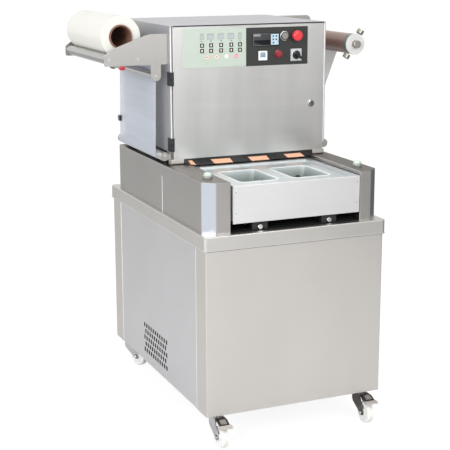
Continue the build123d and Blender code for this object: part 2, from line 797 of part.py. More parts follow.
# Castors: fixed top plates, swivelling forks with the axle, and nylon wheels
def castor_places():
    """Swivel axes of the four castors, with whether the castor has a brake and how far it is turned."""
    x = right - castor_inset[0]
    y = back - castor_inset[1]
    return {"front_left": (-x, -y, True, 0), "front_right": (x, -y, True, 0),
            "rear_left": (-x, y, False, rear_left_swivel), "rear_right": (x, y, False, 0)}


def swivelled(solid, x, y, angle):
    """A castor piece turned about the castor's swivel axis."""
    return Pos(x, y) * Rot(0, 0, angle) * Pos(-x, -y) * solid


crown_top = castor_height - castor_plate[2] - crown_drop


def castor_top(x, y):
    """The screwed-on top plate with the upper race of the swivel and its centre pin."""
    width, depth, thick = castor_plate
    plate = block((x - width / 2, x + width / 2), (y - depth / 2, y + depth / 2),
                  (castor_height - thick, castor_height))
    plate = fillet(plate.edges().filter_by(Axis.Z), 6)
    race = bar_z(x, y, (castor_height - thick - castor_race[1], castor_height - thick), castor_race[0])
    pin = bar_z(x, y, (crown_top - 6, castor_height - thick), castor_pin_r)
    return plate + race + pin


def castor_fork(x, y, brake):
    """The pressed fork: a crown under the race and two legs down to the axle, trailing forward."""
    axle_y = y - castor_trail
    half = wheel_width / 2 + fork_gap
    crown = block((x - half - fork_sheet, x + half + fork_sheet), (y - 30, y + 26),
                  (crown_top - fork_sheet, crown_top))
    crown = fillet(crown.edges().filter_by(Axis.Z), 8)
    fork = crown
    for side in (-1, 1):
        x0 = x + side * half
        top_line = Polyline([(y - 30, crown_top), (y + 22, crown_top), (y + 22, crown_top - 8),
                             (y - 30, crown_top - 20)], close=True)
        cheek = Pos(y + 6, crown_top - 5 - fork_cheek_r) * Circle(fork_cheek_r)
        eye = Pos(axle_y, wheel_r) * Circle(11)
        leg = make_hull(top_line.edges() + cheek.edges() + eye.edges())
        start = x0 if side > 0 else x0 - fork_sheet
        fork += extrude(yz_plane(start) * leg, fork_sheet)
    fork += bar_x(axle_y, wheel_r, (x - half, x + half), castor_axle_r)
    fork += bar_x(axle_y, wheel_r, (x - half - fork_sheet - 4, x + half + fork_sheet + 4), 8) - bar_x(
        axle_y, wheel_r, (x - half, x + half), 30)
    fork -= bar_z(x, y, (crown_top - 20, crown_top + 1), castor_pin_r + running_gap)
    if brake:
        pedal = Polyline([(y - 28, crown_top), (y - 50, crown_top - 1), (y - 88, crown_top - 17),
                          (y - 92, crown_top - 16), (y - 91, crown_top - 20), (y - 50, crown_top - 5),
                          (y - 28, crown_top - 3)], close=True)
        fork += extrude(yz_plane(x - pedal_width / 2) * make_face(pedal), pedal_width)
        tongue = Polyline([(y - 76, crown_top - 12), (y - 92, crown_top - 16), (y - 91, crown_top - 20),
                           (y - 75, crown_top - 15)], close=True)
        fork += extrude(yz_plane(x - tongue_width / 2) * make_face(tongue), tongue_width)
        fork += block((x - brake_pad_width / 2, x + brake_pad_width / 2), (y - 70, y - 57),
                      (crown_top - 20, crown_top - 8))
    return fork


def castor_wheel(x, y):
    """Nylon wheel turned with a recessed web and a long hub, bored for the axle."""
    half = wheel_width / 2
    profile = Polyline([(0, half), (12, half), (14, half - 4), (wheel_r - 12, half - 4),
                        (wheel_r - 9, half - 1), (wheel_r - 3, half - 1), (wheel_r, half - 5),
                        (wheel_r, -half + 5), (wheel_r - 3, -half + 1), (wheel_r - 9, -half + 1),
                        (wheel_r - 12, -half + 4), (14, -half + 4), (12, -half), (0, -half)], close=True)
    wheel = revolve(Plane.XZ * make_face(profile), Axis.Z)
    wheel -= Cylinder(castor_axle_r + running_gap, wheel_width + 2)
    return Pos(x, y - castor_trail, wheel_r) * Rot(0, 90, 0) * wheel


tops = []
for name, (x, y, brake, turn) in castor_places().items():
    tops.append(castor_top(x, y))
    save(f"castor_fork_{name}", swivelled(castor_fork(x, y, brake), x, y, turn))
    save(f"castor_wheel_{name}", swivelled(castor_wheel(x, y), x, y, turn))
save("castor_plates", *tops)
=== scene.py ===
import bmesh
import bpy
import json
import math
from mathutils import Matrix, Vector

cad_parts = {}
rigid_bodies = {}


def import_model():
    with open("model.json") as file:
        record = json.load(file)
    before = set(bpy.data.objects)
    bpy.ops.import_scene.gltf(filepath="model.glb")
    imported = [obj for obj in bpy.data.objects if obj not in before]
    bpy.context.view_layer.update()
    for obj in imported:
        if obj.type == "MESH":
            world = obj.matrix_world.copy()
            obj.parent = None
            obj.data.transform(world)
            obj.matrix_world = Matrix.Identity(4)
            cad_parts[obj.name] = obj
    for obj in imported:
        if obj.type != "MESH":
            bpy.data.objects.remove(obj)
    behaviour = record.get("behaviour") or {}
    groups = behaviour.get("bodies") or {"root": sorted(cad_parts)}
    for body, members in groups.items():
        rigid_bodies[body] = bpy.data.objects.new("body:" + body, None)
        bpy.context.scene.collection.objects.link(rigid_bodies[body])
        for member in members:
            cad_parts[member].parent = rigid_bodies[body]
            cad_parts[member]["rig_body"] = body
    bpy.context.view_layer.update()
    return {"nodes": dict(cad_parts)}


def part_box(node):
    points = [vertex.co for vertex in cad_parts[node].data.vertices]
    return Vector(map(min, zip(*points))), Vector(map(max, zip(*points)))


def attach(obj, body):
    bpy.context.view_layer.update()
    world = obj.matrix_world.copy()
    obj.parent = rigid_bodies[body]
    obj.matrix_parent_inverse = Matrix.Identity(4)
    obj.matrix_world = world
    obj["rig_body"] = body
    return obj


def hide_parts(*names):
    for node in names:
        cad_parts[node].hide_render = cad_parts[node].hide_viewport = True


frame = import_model()
scene = bpy.context.scene
scene.view_settings.view_transform = "Standard"
mm = 0.001

# The camera stands in front of the machine and to its left, a little above the head, and looks
# down on the worktop with a long lens, as a product photographer does.
camera_place = (-1.8326, -4.1552, 1.7389)
camera_turn = 0.4034
camera_tilt = 0.2291
camera_roll = -0.0031
camera = bpy.data.objects.new("camera", bpy.data.cameras.new("camera"))
scene.collection.objects.link(camera)
camera.data.lens = 94.67
camera.data.sensor_width = 36.0
camera.matrix_world = (Matrix.Translation(camera_place) @ Matrix.Rotation(-camera_turn, 4, "Z")
                       @ Matrix.Rotation(math.pi / 2 - camera_tilt, 4, "X")
                       @ Matrix.Rotation(camera_roll, 4, "Z"))
scene.camera = camera

# The studio is white and evenly lit. Polished metal sees a lit room in it: white walls at eye
# level, a dimmer ceiling and a dim right side. The camera and clear film see plain white.
ceiling_light = 0.6
right_light = 0.65


def add_node(tree, kind, sources=None, feeds=None, **settings):
    """Adds one node with its settings. sources gives each input a socket to follow or a value,
    and feeds is the input that follows the node's first output."""
    made = tree.nodes.new(kind)
    for name, value in settings.items():
        setattr(made, name, value)
    for name, source in (sources or {}).items():
        if isinstance(source, bpy.types.NodeSocket):
            tree.links.new(source, made.inputs[name])
        else:
            made.inputs[name].default_value = source
    if feeds is not None:
        tree.links.new(made.outputs[0], feeds)
    return made


def srgb(hex_colour):
    """Turns an sRGB hex colour such as c8c6c2 into the linear colour that shaders take."""
    parts = [int(hex_colour[i:i + 2], 16) / 255 for i in (0, 2, 4)]
    return [p / 12.92 if p <= 0.04045 else ((p + 0.055) / 1.055) ** 2.4 for p in parts] + [1.0]


world = bpy.data.worlds.new("studio")
scene.world = world
world.use_nodes = True
tree = world.node_tree
tree.nodes.clear()
rays = add_node(tree, "ShaderNodeLightPath")
way = add_node(tree, "ShaderNodeTexCoord")
heading = add_node(tree, "ShaderNodeSeparateXYZ", {"Vector": way.outputs["Generated"]})
ceiling = add_node(tree, "ShaderNodeMapRange", {
    "Value": heading.outputs["Z"], "From Min": 0.25, "From Max": 0.8, "To Min": 1.0,
    "To Max": ceiling_light}, interpolation_type="SMOOTHSTEP")
right_side = add_node(tree, "ShaderNodeMapRange", {
    "Value": heading.outputs["X"], "From Min": 0.3, "From Max": 0.9, "To Min": 1.0,
    "To Max": right_light}, interpolation_type="SMOOTHSTEP")
room = add_node(tree, "ShaderNodeMath", {0: ceiling.outputs[0], 1: right_side.outputs[0]},
                operation="MULTIPLY")
walls = add_node(tree, "ShaderNodeVectorMath", {0: srgb("fffefc")[:3], "Scale": room.outputs[0]},
                 operation="SCALE")
seen = add_node(tree, "ShaderNodeMath", {0: rays.outputs["Is Camera Ray"],
                                         1: rays.outputs["Is Transmission Ray"]},
                operation="MAXIMUM")
backdrop = add_node(tree, "ShaderNodeMix", {"Factor": seen.outputs[0], 6: walls.outputs[0],
                                            7: srgb("ffffff")}, data_type="RGBA")
sky = add_node(tree, "ShaderNodeBackground", {"Color": backdrop.outputs[2], "Strength": 1.0})
add_node(tree, "ShaderNodeOutputWorld", {"Surface": sky.outputs[0]})

# The floor is white paper that only keeps a soft shadow. The paper ends on the right, where the
# dark studio floor begins and shows in the steel.
floor_half = 14.0
paper_edge = (1.3, 2.2)
camera_glow = 1.2
camera_share = 0.72
bm = bmesh.new()
bmesh.ops.create_grid(bm, x_segments=1, y_segments=1, size=floor_half)
floor_mesh = bpy.data.meshes.new("floor")
bm.to_mesh(floor_mesh)
bm.free()
floor = bpy.data.objects.new("floor", floor_mesh)
scene.collection.objects.link(floor)
floor_paint = bpy.data.materials.new("floor_paint")
floor_paint.use_nodes = True
tree = floor_paint.node_tree
tree.nodes.clear()
rays = add_node(tree, "ShaderNodeLightPath")
place = add_node(tree, "ShaderNodeTexCoord")
across = add_node(tree, "ShaderNodeSeparateXYZ", {"Vector": place.outputs["Object"]})
beyond = add_node(tree, "ShaderNodeMapRange", {
    "Value": across.outputs["X"], "From Min": paper_edge[0], "From Max": paper_edge[1],
    "To Min": 0.0, "To Max": 1.0})
unseen = add_node(tree, "ShaderNodeMath", {0: 1.0, 1: rays.outputs["Is Camera Ray"]},
                  operation="SUBTRACT")
dark_share = add_node(tree, "ShaderNodeMath", {0: beyond.outputs[0], 1: unseen.outputs[0]},
                      operation="MULTIPLY")
paper = add_node(tree, "ShaderNodeMix", {"Factor": dark_share.outputs[0], 6: srgb("e6e6e6"),
                                         7: srgb("757371")}, data_type="RGBA")
matt = add_node(tree, "ShaderNodeBsdfDiffuse", {"Color": paper.outputs[2]})
glow = add_node(tree, "ShaderNodeEmission", {"Color": srgb("ffffff"), "Strength": camera_glow})
share = add_node(tree, "ShaderNodeMath", {0: rays.outputs["Is Camera Ray"], 1: camera_share},
                 operation="MULTIPLY")
mixed = add_node(tree, "ShaderNodeMixShader", {0: share.outputs[0], 1: matt.outputs[0],
                                               2: glow.outputs[0]})
# A bright patch of lit paper at the left, seen in the metal only, whitens the left chamfer.
patch_middle = (-3.9, -2.1, 0.0)
patch_radius = (0.8, 2.0)
patch_light = 0.7
patch = add_node(tree, "ShaderNodeVectorMath", {0: place.outputs["Object"], 1: patch_middle},
                 operation="DISTANCE")
inside = add_node(tree, "ShaderNodeMapRange", {
    "Value": patch.outputs["Value"], "From Min": patch_radius[0], "From Max": patch_radius[1],
    "To Min": patch_light, "To Max": 0.0}, interpolation_type="SMOOTHSTEP")
mirrored = add_node(tree, "ShaderNodeMath", {0: inside.outputs[0],
                                             1: rays.outputs["Is Glossy Ray"]},
                    operation="MULTIPLY")
lit = add_node(tree, "ShaderNodeEmission", {"Color": srgb("eef2ff"),
                                            "Strength": mirrored.outputs[0]})
both = add_node(tree, "ShaderNodeAddShader", {0: mixed.outputs[0], 1: lit.outputs[0]})
add_node(tree, "ShaderNodeOutputMaterial", {"Surface": both.outputs[0]})
floor_mesh.materials.append(floor_paint)

# Three large soft boxes light the machine at a plain level: one from the left and one from the
# front for the upright faces, and a weak one from above for the tops.


def soft_lamp(name, place, aim, size, watts):
    """A square soft box that shines from its place towards its aim."""
    data = bpy.data.lights.new(name, "AREA")
    data.shape = "SQUARE"
    data.size = size
    data.energy = watts
    lamp = bpy.data.objects.new(name, data)
    scene.collection.objects.link(lamp)
    towards = (Vector(aim) - Vector(place)).to_track_quat("-Z", "Y")
    lamp.matrix_world = Matrix.Translation(place) @ towards.to_matrix().to_4x4()


soft_lamp("left_soft_box", (-3.6, -2.2, 2.6), (0, 0, 0.8), 2.4, 90)
soft_lamp("front_soft_box", (0.6, -4.6, 3.0), (0, 0, 0.8), 2.6, 80)
soft_lamp("top_soft_box", (0.2, 0.4, 4.2), (0, 0, 0.6), 2.6, 30)

# The cabinet is folded from ground stainless sheet: a front and a back wrap, and a side panel let
# in between them on each side. Small screws hold the panels, and white strips along the seams
# are a painted highlight where the folded edges catch the light.
noise_span = {"From Min": 0.3, "From Max": 0.7}
relief_depth = 0.0001


def start_material(name):
    """Starts a material, and returns it with its nodes, its shader and its Object coordinates."""
    material = bpy.data.materials.new(name)
    material.use_nodes = True
    tree = material.node_tree
    place = add_node(tree, "ShaderNodeTexCoord").outputs["Object"]
    return material, tree, tree.nodes["Principled BSDF"], place


def lined_sheet(name, colour, roughness, grain, streak=0.015, smudge=0.02, bump=0.06,
                metallic=1.0, bands=(4.5, 4.5, 4.5), lean=0.0):
    """A sheet with fine parallel strokes, such as metal ground with a belt or drawn film. grain
    gives strokes per metre along X, Y and Z, so the lines run across the axis with the large
    number. They are drawn coarser than the real ones, about 2 mm apart, because real strokes of
    0.1 mm would not show at this distance. bands and lean shape the large soft smudges."""
    material, tree, shader, place = start_material(name)
    stretched = add_node(tree, "ShaderNodeMapping", {"Vector": place, "Scale": grain})
    strokes = add_node(tree, "ShaderNodeTexNoise", {"Vector": stretched.outputs[0], "Scale": 1.0,
                                                    "Detail": 3.0, "Roughness": 0.7})
    leaning = add_node(tree, "ShaderNodeMapping", {"Vector": place, "Scale": bands,
                                                   "Rotation": (0, math.radians(lean), 0)})
    clouds = add_node(tree, "ShaderNodeTexNoise", {"Vector": leaning.outputs[0], "Scale": 1.0,
                                                   "Detail": 2.0})
    light = add_node(tree, "ShaderNodeMapRange", {
        **noise_span, "Value": strokes.outputs["Fac"], "To Min": 1 - streak, "To Max": 1 + streak})
    cloud = add_node(tree, "ShaderNodeMapRange", {
        **noise_span, "Value": clouds.outputs["Fac"], "To Min": 1 - smudge, "To Max": 1 + smudge})
    both = add_node(tree, "ShaderNodeMath", {0: light.outputs[0], 1: cloud.outputs[0]},
                    operation="MULTIPLY")
    add_node(tree, "ShaderNodeVectorMath", {0: srgb(colour)[:3], "Scale": both.outputs[0]},
             shader.inputs["Base Color"], operation="SCALE")
    sway = min(0.04, streak * 4)
    add_node(tree, "ShaderNodeMapRange", {
        **noise_span, "Value": strokes.outputs["Fac"], "To Min": roughness - sway,
        "To Max": roughness + sway}, shader.inputs["Roughness"])
    add_node(tree, "ShaderNodeBump", {"Height": strokes.outputs["Fac"], "Strength": bump,
                                      "Distance": relief_depth}, shader.inputs["Normal"])
    shader.inputs["Metallic"].default_value = metallic
    return material


def show(name, bm, material, body, smooth_above=32):
    """Makes a finished piece of a bmesh, with flat faces kept flat, and lets it ride on its body."""
    mesh = bpy.data.meshes.new(name)
    bm.to_mesh(mesh)
    bm.free()
    mesh.shade_smooth()
    mesh.set_sharp_from_angle(angle=math.radians(smooth_above))
    mesh.materials.append(material)
    piece = bpy.data.objects.new(name, mesh)
    scene.collection.objects.link(piece)
    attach(piece, body)
    return piece


def eased(node, material, edge=0.7, fold=0.0, painted_top_material=None, painted_chamfer_material=None):
    """Stands for a CAD node: the same solid with its sharp edges broken, as real edges are. fold
    is the outer radius in mm of the bends between the large faces of a folded sheet.
    The last two are colours painted on the one steel: a painted reflection on the faces that look
    up, and a painted highlight on the slanting upright faces at the front."""
    weld = 0.000005
    still_flat = math.radians(0.6)
    sharp_from = math.radians(28)
    wide_face = 0.003
    long_edge = 0.12
    source = frame["nodes"][node]
    bm = bmesh.new()
    bm.from_mesh(source.data)
    bmesh.ops.remove_doubles(bm, verts=bm.verts, dist=weld)
    bmesh.ops.dissolve_limit(bm, angle_limit=still_flat, verts=bm.verts, edges=bm.edges)
    if fold:
        bends = [e for e in bm.edges
                 if len(e.link_faces) == 2 and e.is_convex and e.calc_length() > long_edge
                 and min(f.calc_area() for f in e.link_faces) > wide_face
                 and e.calc_face_angle(0) > sharp_from]
        bmesh.ops.bevel(bm, geom=bends, offset=fold * mm, offset_type="OFFSET", segments=4,
                        profile=0.5, affect="EDGES", clamp_overlap=False, material=-1)
    sharp = [e for e in bm.edges
             if len(e.link_faces) == 2 and e.calc_face_angle(0) > sharp_from]
    bmesh.ops.bevel(bm, geom=sharp, offset=edge * mm, offset_type="OFFSET", segments=2,
                    profile=0.5, affect="EDGES", clamp_overlap=True, material=-1)
    piece = show(node + "_finish", bm, material, source["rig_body"])
    settle = piece.modifiers.new("flat_faces", "WEIGHTED_NORMAL")
    settle.keep_sharp = True
    # Faces that look up take a darker colour where one is given, a painted reflection.
    if painted_top_material:
        piece.data.materials.append(painted_top_material)
        for face in piece.data.polygons:
            if face.normal.z > 0.9:
                face.material_index = 1
    # The slanting front faces take a paler colour where one is given, a painted highlight.
    if painted_chamfer_material:
        piece.data.materials.append(painted_chamfer_material)
        for face in piece.data.polygons:
            if abs(face.normal.x) > 0.5 and face.normal.y < -0.5 and face.area > wide_face:
                face.material_index = len(piece.data.materials) - 1
    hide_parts(node)
    return piece


def box_mm(node):
    """The low and the high corner of a CAD node's box, in mm."""
    return [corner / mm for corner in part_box(node)]


def slab(bm, x, y, z, soften=0.0):
    """Adds a block given by its two sides in mm along each axis, its edges softened by a bevel."""
    size = [abs(b - a) * mm for a, b in (x, y, z)]
    middle = [(a + b) / 2 * mm for a, b in (x, y, z)]
    made = bmesh.ops.create_cube(
        bm, size=1.0, matrix=Matrix.Translation(middle) @ Matrix.Diagonal((*size, 1)))
    if soften:
        edges = {e for v in made["verts"] for e in v.link_edges}
        bmesh.ops.bevel(bm, geom=list(edges), offset=soften * mm, offset_type="OFFSET",
                        segments=3, profile=0.5, affect="EDGES", material=-1)


facing = {"front": Matrix.Rotation(math.pi / 2, 4, "X"),
          "left": Matrix.Rotation(-math.pi / 2, 4, "Y"),
          "right": Matrix.Rotation(math.pi / 2, 4, "Y"),
          "top": Matrix.Identity(4)}
# Turned stainless: a small grey glint with a darker cross.
screw_steel = lined_sheet("screw_steel", "b9b6b2", 0.35, (900, 900, 900), streak=0.05)


def screws(name, places, side, body, radius=2.6, turn=35, parts=4, material=screw_steel):
    """Screw heads, one piece for the set: a low dome split by a cross slot into four parts, or by
    one straight slot into two, on a round base."""
    bm = bmesh.new()
    slot_half = radius * 0.14
    crown = radius * 0.62
    rise = radius * 0.55
    base_rise = radius * 0.16
    for place in places:
        where = Matrix.Translation([c * mm for c in place]) @ facing[side]
        dome = bmesh.new()
        bmesh.ops.create_cone(dome, cap_ends=True, segments=24, radius1=radius * mm,
                              radius2=crown * mm, depth=rise * mm,
                              matrix=Matrix.Translation((0, 0, rise / 2 * mm)))
        for k in range(parts):
            split = dome.copy()
            a = math.radians(turn + 360 / parts * k)
            ways = [Vector((math.cos(a), math.sin(a), 0)), Vector((-math.sin(a), math.cos(a), 0))]
            for away in ways[:parts // 2]:
                cut = bmesh.ops.bisect_plane(
                    split, geom=split.verts[:] + split.edges[:] + split.faces[:],
                    plane_co=away * slot_half * mm, plane_no=away, clear_inner=True)
                rim = [e for e in cut["geom_cut"] if isinstance(e, bmesh.types.BMEdge)]
                bmesh.ops.holes_fill(split, edges=rim)
            split.transform(where)
            part = bpy.data.meshes.new("screw_part")
            split.to_mesh(part)
            split.free()
            bm.from_mesh(part)
            bpy.data.meshes.remove(part)
        dome.free()
        bmesh.ops.create_cone(bm, cap_ends=True, segments=24, radius1=radius * mm,
                              radius2=radius * mm, depth=base_rise * mm,
                              matrix=where @ Matrix.Translation((0, 0, base_rise / 2 * mm)))
    return show(name, bm, material, body)


# Ground sheet: level strokes that blur what it mirrors, a warm grey in front, a cooler one aside.
cabinet_steel = lined_sheet("ground_stainless_sheet", "d5d2cf", 0.42, (3, 3, 500), streak=0.01,
                            smudge=0.03, bands=(3.0, 3.0, 1.5), lean=20)
side_steel = lined_sheet("ground_stainless_side", "d6d6d9", 0.42, (3, 3, 500), streak=0.01)
# Painted highlight: a white hairline where an edge catches the light.
edge_highlight_white = lined_sheet("white_painted_edge_highlight", "ffffff", 0.5, (3, 3, 200), metallic=0.0)
eased("cabinet_front_and_back", cabinet_steel, 0.6, fold=4.0)
eased("cabinet_side_panels", side_steel, 0.5)
eased("cabinet_floor", side_steel, 0.5)
panel_low, panel_high = box_mm("cabinet_side_panels")
seam_screw_inset = 11.0
seam_screw_levels = (122.0, 717.0)
seam_width = 5.5
seam_lift = 0.5
seam_gap = 0.5
seam_top = 725.0
# White strips beside the seams are a painted highlight.
bm = bmesh.new()
for side, face, out in (("left", panel_low.x, -1), ("right", panel_high.x, 1)):
    places = [(face, y, z)
              for y in (panel_low.y + seam_screw_inset, panel_high.y - seam_screw_inset)
              for z in seam_screw_levels]
    screws(f"panel_screws_{side}", places, side, "sealer")
    for y in (panel_low.y - seam_gap, panel_high.y + seam_gap):
        slab(bm, (face, face + out * seam_lift), (y - seam_width / 2, y + seam_width / 2),
             (panel_low.z, seam_top))
show("cabinet_seam_highlights", bm, edge_highlight_white, "sealer")

# Behind the vents hangs a dark guard sheet, so that no opening shows through the cabinet, and a
# dark rim round each punched slot is painted shade. A small red valve grip stands behind them on
# the left.


def moulded(name, colour, roughness, coat=0.0, grit_mm=0.6, depth=0.06, variation=0.03):
    """Moulded plastic, lacquer or card: one colour with a faint mottle of about 26 mm and a fine
    grit in the skin. The grit is drawn four times as coarse as its real grit_mm, so it shows."""
    material, tree, shader, place = start_material(name)
    mottles_per_metre = 38.0
    grit = add_node(tree, "ShaderNodeTexNoise", {"Vector": place, "Scale": 1000 / grit_mm / 4,
                                                 "Detail": 2.0})
    mottle = add_node(tree, "ShaderNodeTexNoise", {"Vector": place, "Scale": mottles_per_metre,
                                                   "Detail": 2.0})
    shade = add_node(tree, "ShaderNodeMapRange", {
        **noise_span, "Value": mottle.outputs["Fac"], "To Min": 1 - variation,
        "To Max": 1 + variation})
    add_node(tree, "ShaderNodeVectorMath", {0: srgb(colour)[:3], "Scale": shade.outputs[0]},
             shader.inputs["Base Color"], operation="SCALE")
    add_node(tree, "ShaderNodeMapRange", {
        **noise_span, "Value": mottle.outputs["Fac"], "To Min": max(roughness - 0.03, 0.02),
        "To Max": roughness + 0.03}, shader.inputs["Roughness"])
    add_node(tree, "ShaderNodeBump", {"Height": grit.outputs["Fac"], "Strength": depth,
                                      "Distance": relief_depth}, shader.inputs["Normal"])
    shader.inputs["Coat Weight"].default_value = coat
    return material


def turned_piece(bm, place, side, rings, segments=32):
    """Adds a turned solid whose profile rings are (radius, height above its seat) in mm."""
    for v in bm.verts:
        v.tag = True
    profile = [bm.verts.new((radius * mm, 0, height * mm)) for radius, height in rings]
    edges = [bm.edges.new(pair) for pair in zip(profile, profile[1:])]
    bmesh.ops.spin(bm, geom=profile + edges, cent=(0, 0, 0), axis=(0, 0, 1), angle=math.tau,
                   steps=segments, use_merge=True)
    made = [v for v in bm.verts if not v.tag]
    bmesh.ops.remove_doubles(bm, verts=made, dist=0.000004)
    made = [v for v in bm.verts if not v.tag]
    seat = place if isinstance(place, Matrix) else Matrix.Translation([c * mm for c in place])
    bmesh.ops.transform(bm, verts=made, matrix=seat @ facing[side])
    faces = list({f for v in made for f in v.link_faces})
    bmesh.ops.recalc_face_normals(bm, faces=faces)


# Dull and nearly black: the guard's paint, and the painted shade round the slots.
guard_and_slot_shade_black = moulded("dark_guard_and_painted_slot_shade", "0c0d0f", 0.7)
# Moulded grip: glossy dark red.
grip_red = moulded("red_grip", "b3232a", 0.35, coat=0.3)
guard_inset = (9.0, 11.0)
guard_y = (-130.0, 158.0)
guard_z = (145.0, 298.0)
bm = bmesh.new()
for face, inward in ((panel_low.x, 1), (panel_high.x, -1)):
    slab(bm, (face + inward * guard_inset[0], face + inward * guard_inset[1]), guard_y, guard_z)
show("vent_guards", bm, guard_and_slot_shade_black, "sealer")
slot_size = (10.0, 15.0)
slot_pitch = (25.0, 26.0)
slot_first = (-111.0, 162.0)
slot_rows = 5
slot_columns = 11
rim_width = 1.6
rim_overlap = 0.3
rim_depth = 1.5
rim_lift = 0.25
# Dark rims round the punched slots are painted shade.
bm = bmesh.new()
for face, out in ((panel_low.x, -1), (panel_high.x, 1)):
    x = (face - out * rim_depth, face + out * rim_lift)
    for row in range(slot_rows):
        shifted = row % 2
        for k in range(slot_columns - shifted):
            y = slot_first[0] + slot_pitch[0] * (k + 0.5 * shifted)
            z = slot_first[1] + slot_pitch[1] * row
            for low_y in (y - rim_width + rim_overlap, y + slot_size[0] - rim_overlap):
                slab(bm, x, (low_y, low_y + rim_width),
                     (z - rim_width, z + slot_size[1] + rim_width))
            for low_z in (z - rim_width + rim_overlap, z + slot_size[1] - rim_overlap):
                slab(bm, x, (y, y + slot_size[0]), (low_z, low_z + rim_width))
show("vent_slot_painted_shade", bm, guard_and_slot_shade_black, "sealer")
grip_place = (41.0, 222.0)
grip_rings = [(0, 0), (7.0, 0), (7.0, 6), (5.5, 8), (0, 8)]
bm = bmesh.new()
turned_piece(bm, (panel_low.x + guard_inset[0], *grip_place), "left", grip_rings)
show("vent_grip", bm, grip_red, "sealer")

# The worktop is one stainless sheet with a deep folded lip, its corners welded. A pale strip
# along its lower edge is a painted highlight, and a grey strip under the lip a painted shadow.
top_low, top_high = box_mm("worktop")
wrap_low, wrap_high = box_mm("cabinet_front_and_back")
lip_highlight_height = 1.8
lip_highlight_lift = 0.2
lip_shadow_height = 3.5
lip_shadow_lift = 1.5
# Ground sheet: the cabinet's level strokes, a little shinier.
worktop_steel = lined_sheet("ground_stainless_worktop", "d4d2cf", 0.38, (3, 3, 500))
# Painted highlight: a pale line along the lip's lower edge.
lip_highlight_steel = lined_sheet("lip_edge_painted_highlight", "d3d2d0", 0.4, (3, 3, 3), metallic=0.3)
# Painted shadow: a dull grey line under the lip.
lip_shadow_grey = moulded("grey_painted_lip_shadow", "6e6b68", 0.7)
eased("worktop", worktop_steel, 0.6, fold=2.5)


def collar(bm, low, high, lift, z):
    """Adds four strips round the outline from low to high, standing lift in front of its faces."""
    for x in (low.x, high.x):
        slab(bm, (x - lift, x + lift), (low.y - lift, high.y + lift), z)
    for y in (low.y, high.y):
        slab(bm, (low.x + lift, high.x - lift), (y - lift, y + lift), z)


# A pale strip along the lip's lower edge is a painted highlight.
bm = bmesh.new()
collar(bm, top_low, top_high, lip_highlight_lift, (top_low.z, top_low.z + lip_highlight_height))
show("worktop_lip_highlight", bm, lip_highlight_steel, "sealer")
# A grey strip under the lip is a painted shadow.
bm = bmesh.new()
collar(bm, wrap_low, wrap_high, lip_shadow_lift, (top_low.z - lip_shadow_height, top_low.z + 1))
show("worktop_lip_shadow", bm, lip_shadow_grey, "sealer")

# Two folded stainless housings stand on the worktop, one each side of the sliding die, each in two
# parts with a seam between them and screwed down at the side; a white strip at each seam is a
# painted highlight. Their tops are ground across and painted darker and browner, a painted
# reflection, and their front corners are chamfered and painted pale, a painted highlight.
housing_low, housing_high = box_mm("table_housings_rear")
housing_seam_y = housing_low.y
housing_seam_width = 4.0
housing_seam_lift = 0.3
housing_seam_short = 43.0
housing_screw_insets = (11.0, 10.0)
housing_screw_z = 872.0
# Ground sides: level strokes in a darker grey than the cabinet's.
housing_steel = lined_sheet("ground_stainless_housing", "b6b4b2", 0.36, (3, 3, 520))
# Tops: strokes across, in a brown grey painted on as a reflection of the dark end of the room.
housing_top_painted_reflection = lined_sheet("cross_ground_top_painted_reflection", "68615b", 0.4, (3, 420, 3),
                                smudge=0.06)
# Chamfers: a painted highlight, pale, cool and nearly even.
chamfer_painted_highlight = lined_sheet("ground_chamfer_painted_highlight", "babfc6", 0.34, (3, 3, 520), streak=0.01)
eased("table_housings_front", housing_steel, 0.6, fold=3.0,
      painted_top_material=housing_top_painted_reflection, painted_chamfer_material=chamfer_painted_highlight)
eased("table_housings_rear", housing_steel, 0.6, fold=3.0,
      painted_top_material=housing_top_painted_reflection)
# White strips at the housing seams are a painted highlight.
bm = bmesh.new()
for side, face, out in (("left", housing_low.x, -1), ("right", housing_high.x, 1)):
    screws(f"housing_screws_{side}",
           [(face, housing_seam_y + housing_screw_insets[0], housing_screw_z),
            (face, housing_high.y - housing_screw_insets[1], housing_screw_z)],
           side, "sealer", radius=2.3)
    slab(bm, (face, face + out * housing_seam_lift),
         (housing_seam_y, housing_seam_y + housing_seam_width),
         (top_high.z + 1, housing_high.z - housing_seam_short))
show("housing_seam_highlights", bm, edge_highlight_white, "sealer")

# The palm buttons: a pale green cap with a domed top that runs in a satin bezel on each housing.
dome_rings = [(0, 0), (13.4, 0), (13.4, 0.6), (12.6, 2.4), (10.0, 4.2), (6.0, 5.3), (2.6, 5.7),
              (0, 5.8)]
dome_sink = 1.0
# Polished chrome: sharp bright glints.
bright_chrome = lined_sheet("polished_chrome", "e2e2e4", 0.14, (60, 60, 60), streak=0.01,
                            smudge=0.01, bump=0.02)
# Turned acetal: a soft shine on pale green.
palm_plastic = moulded("pale_green_acetal", "d3e3d8", 0.25, coat=0.3)
# Blasted metal: an even grey ring.
bezel_metal = lined_sheet("satin_bezel", "b6bab8", 0.35, (200, 200, 200), metallic=0.6)
eased("palm_button_bezels", bezel_metal, 1.5)
for name in ("palm_button_left", "palm_button_right"):
    eased(name, palm_plastic, 0.4)
    cap_low, cap_high = box_mm(name)
    middle = (cap_low + cap_high) / 2
    bm = bmesh.new()
    turned_piece(bm, (middle.x, middle.y, cap_high.z - dome_sink), "top", dome_rings)
    show(name + "_dome", bm, palm_plastic, frame["nodes"][name]["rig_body"], 60)

# The die slides on two ground rods held in black pedestals. A black sheet over the worktop between
# the housings is painted shade, for the dark bay under the die.
bay_shade_x = (-245.0, 258.0)
bay_shade_y = (-494.0, 436.0)
bay_shade_thickness = 1.0
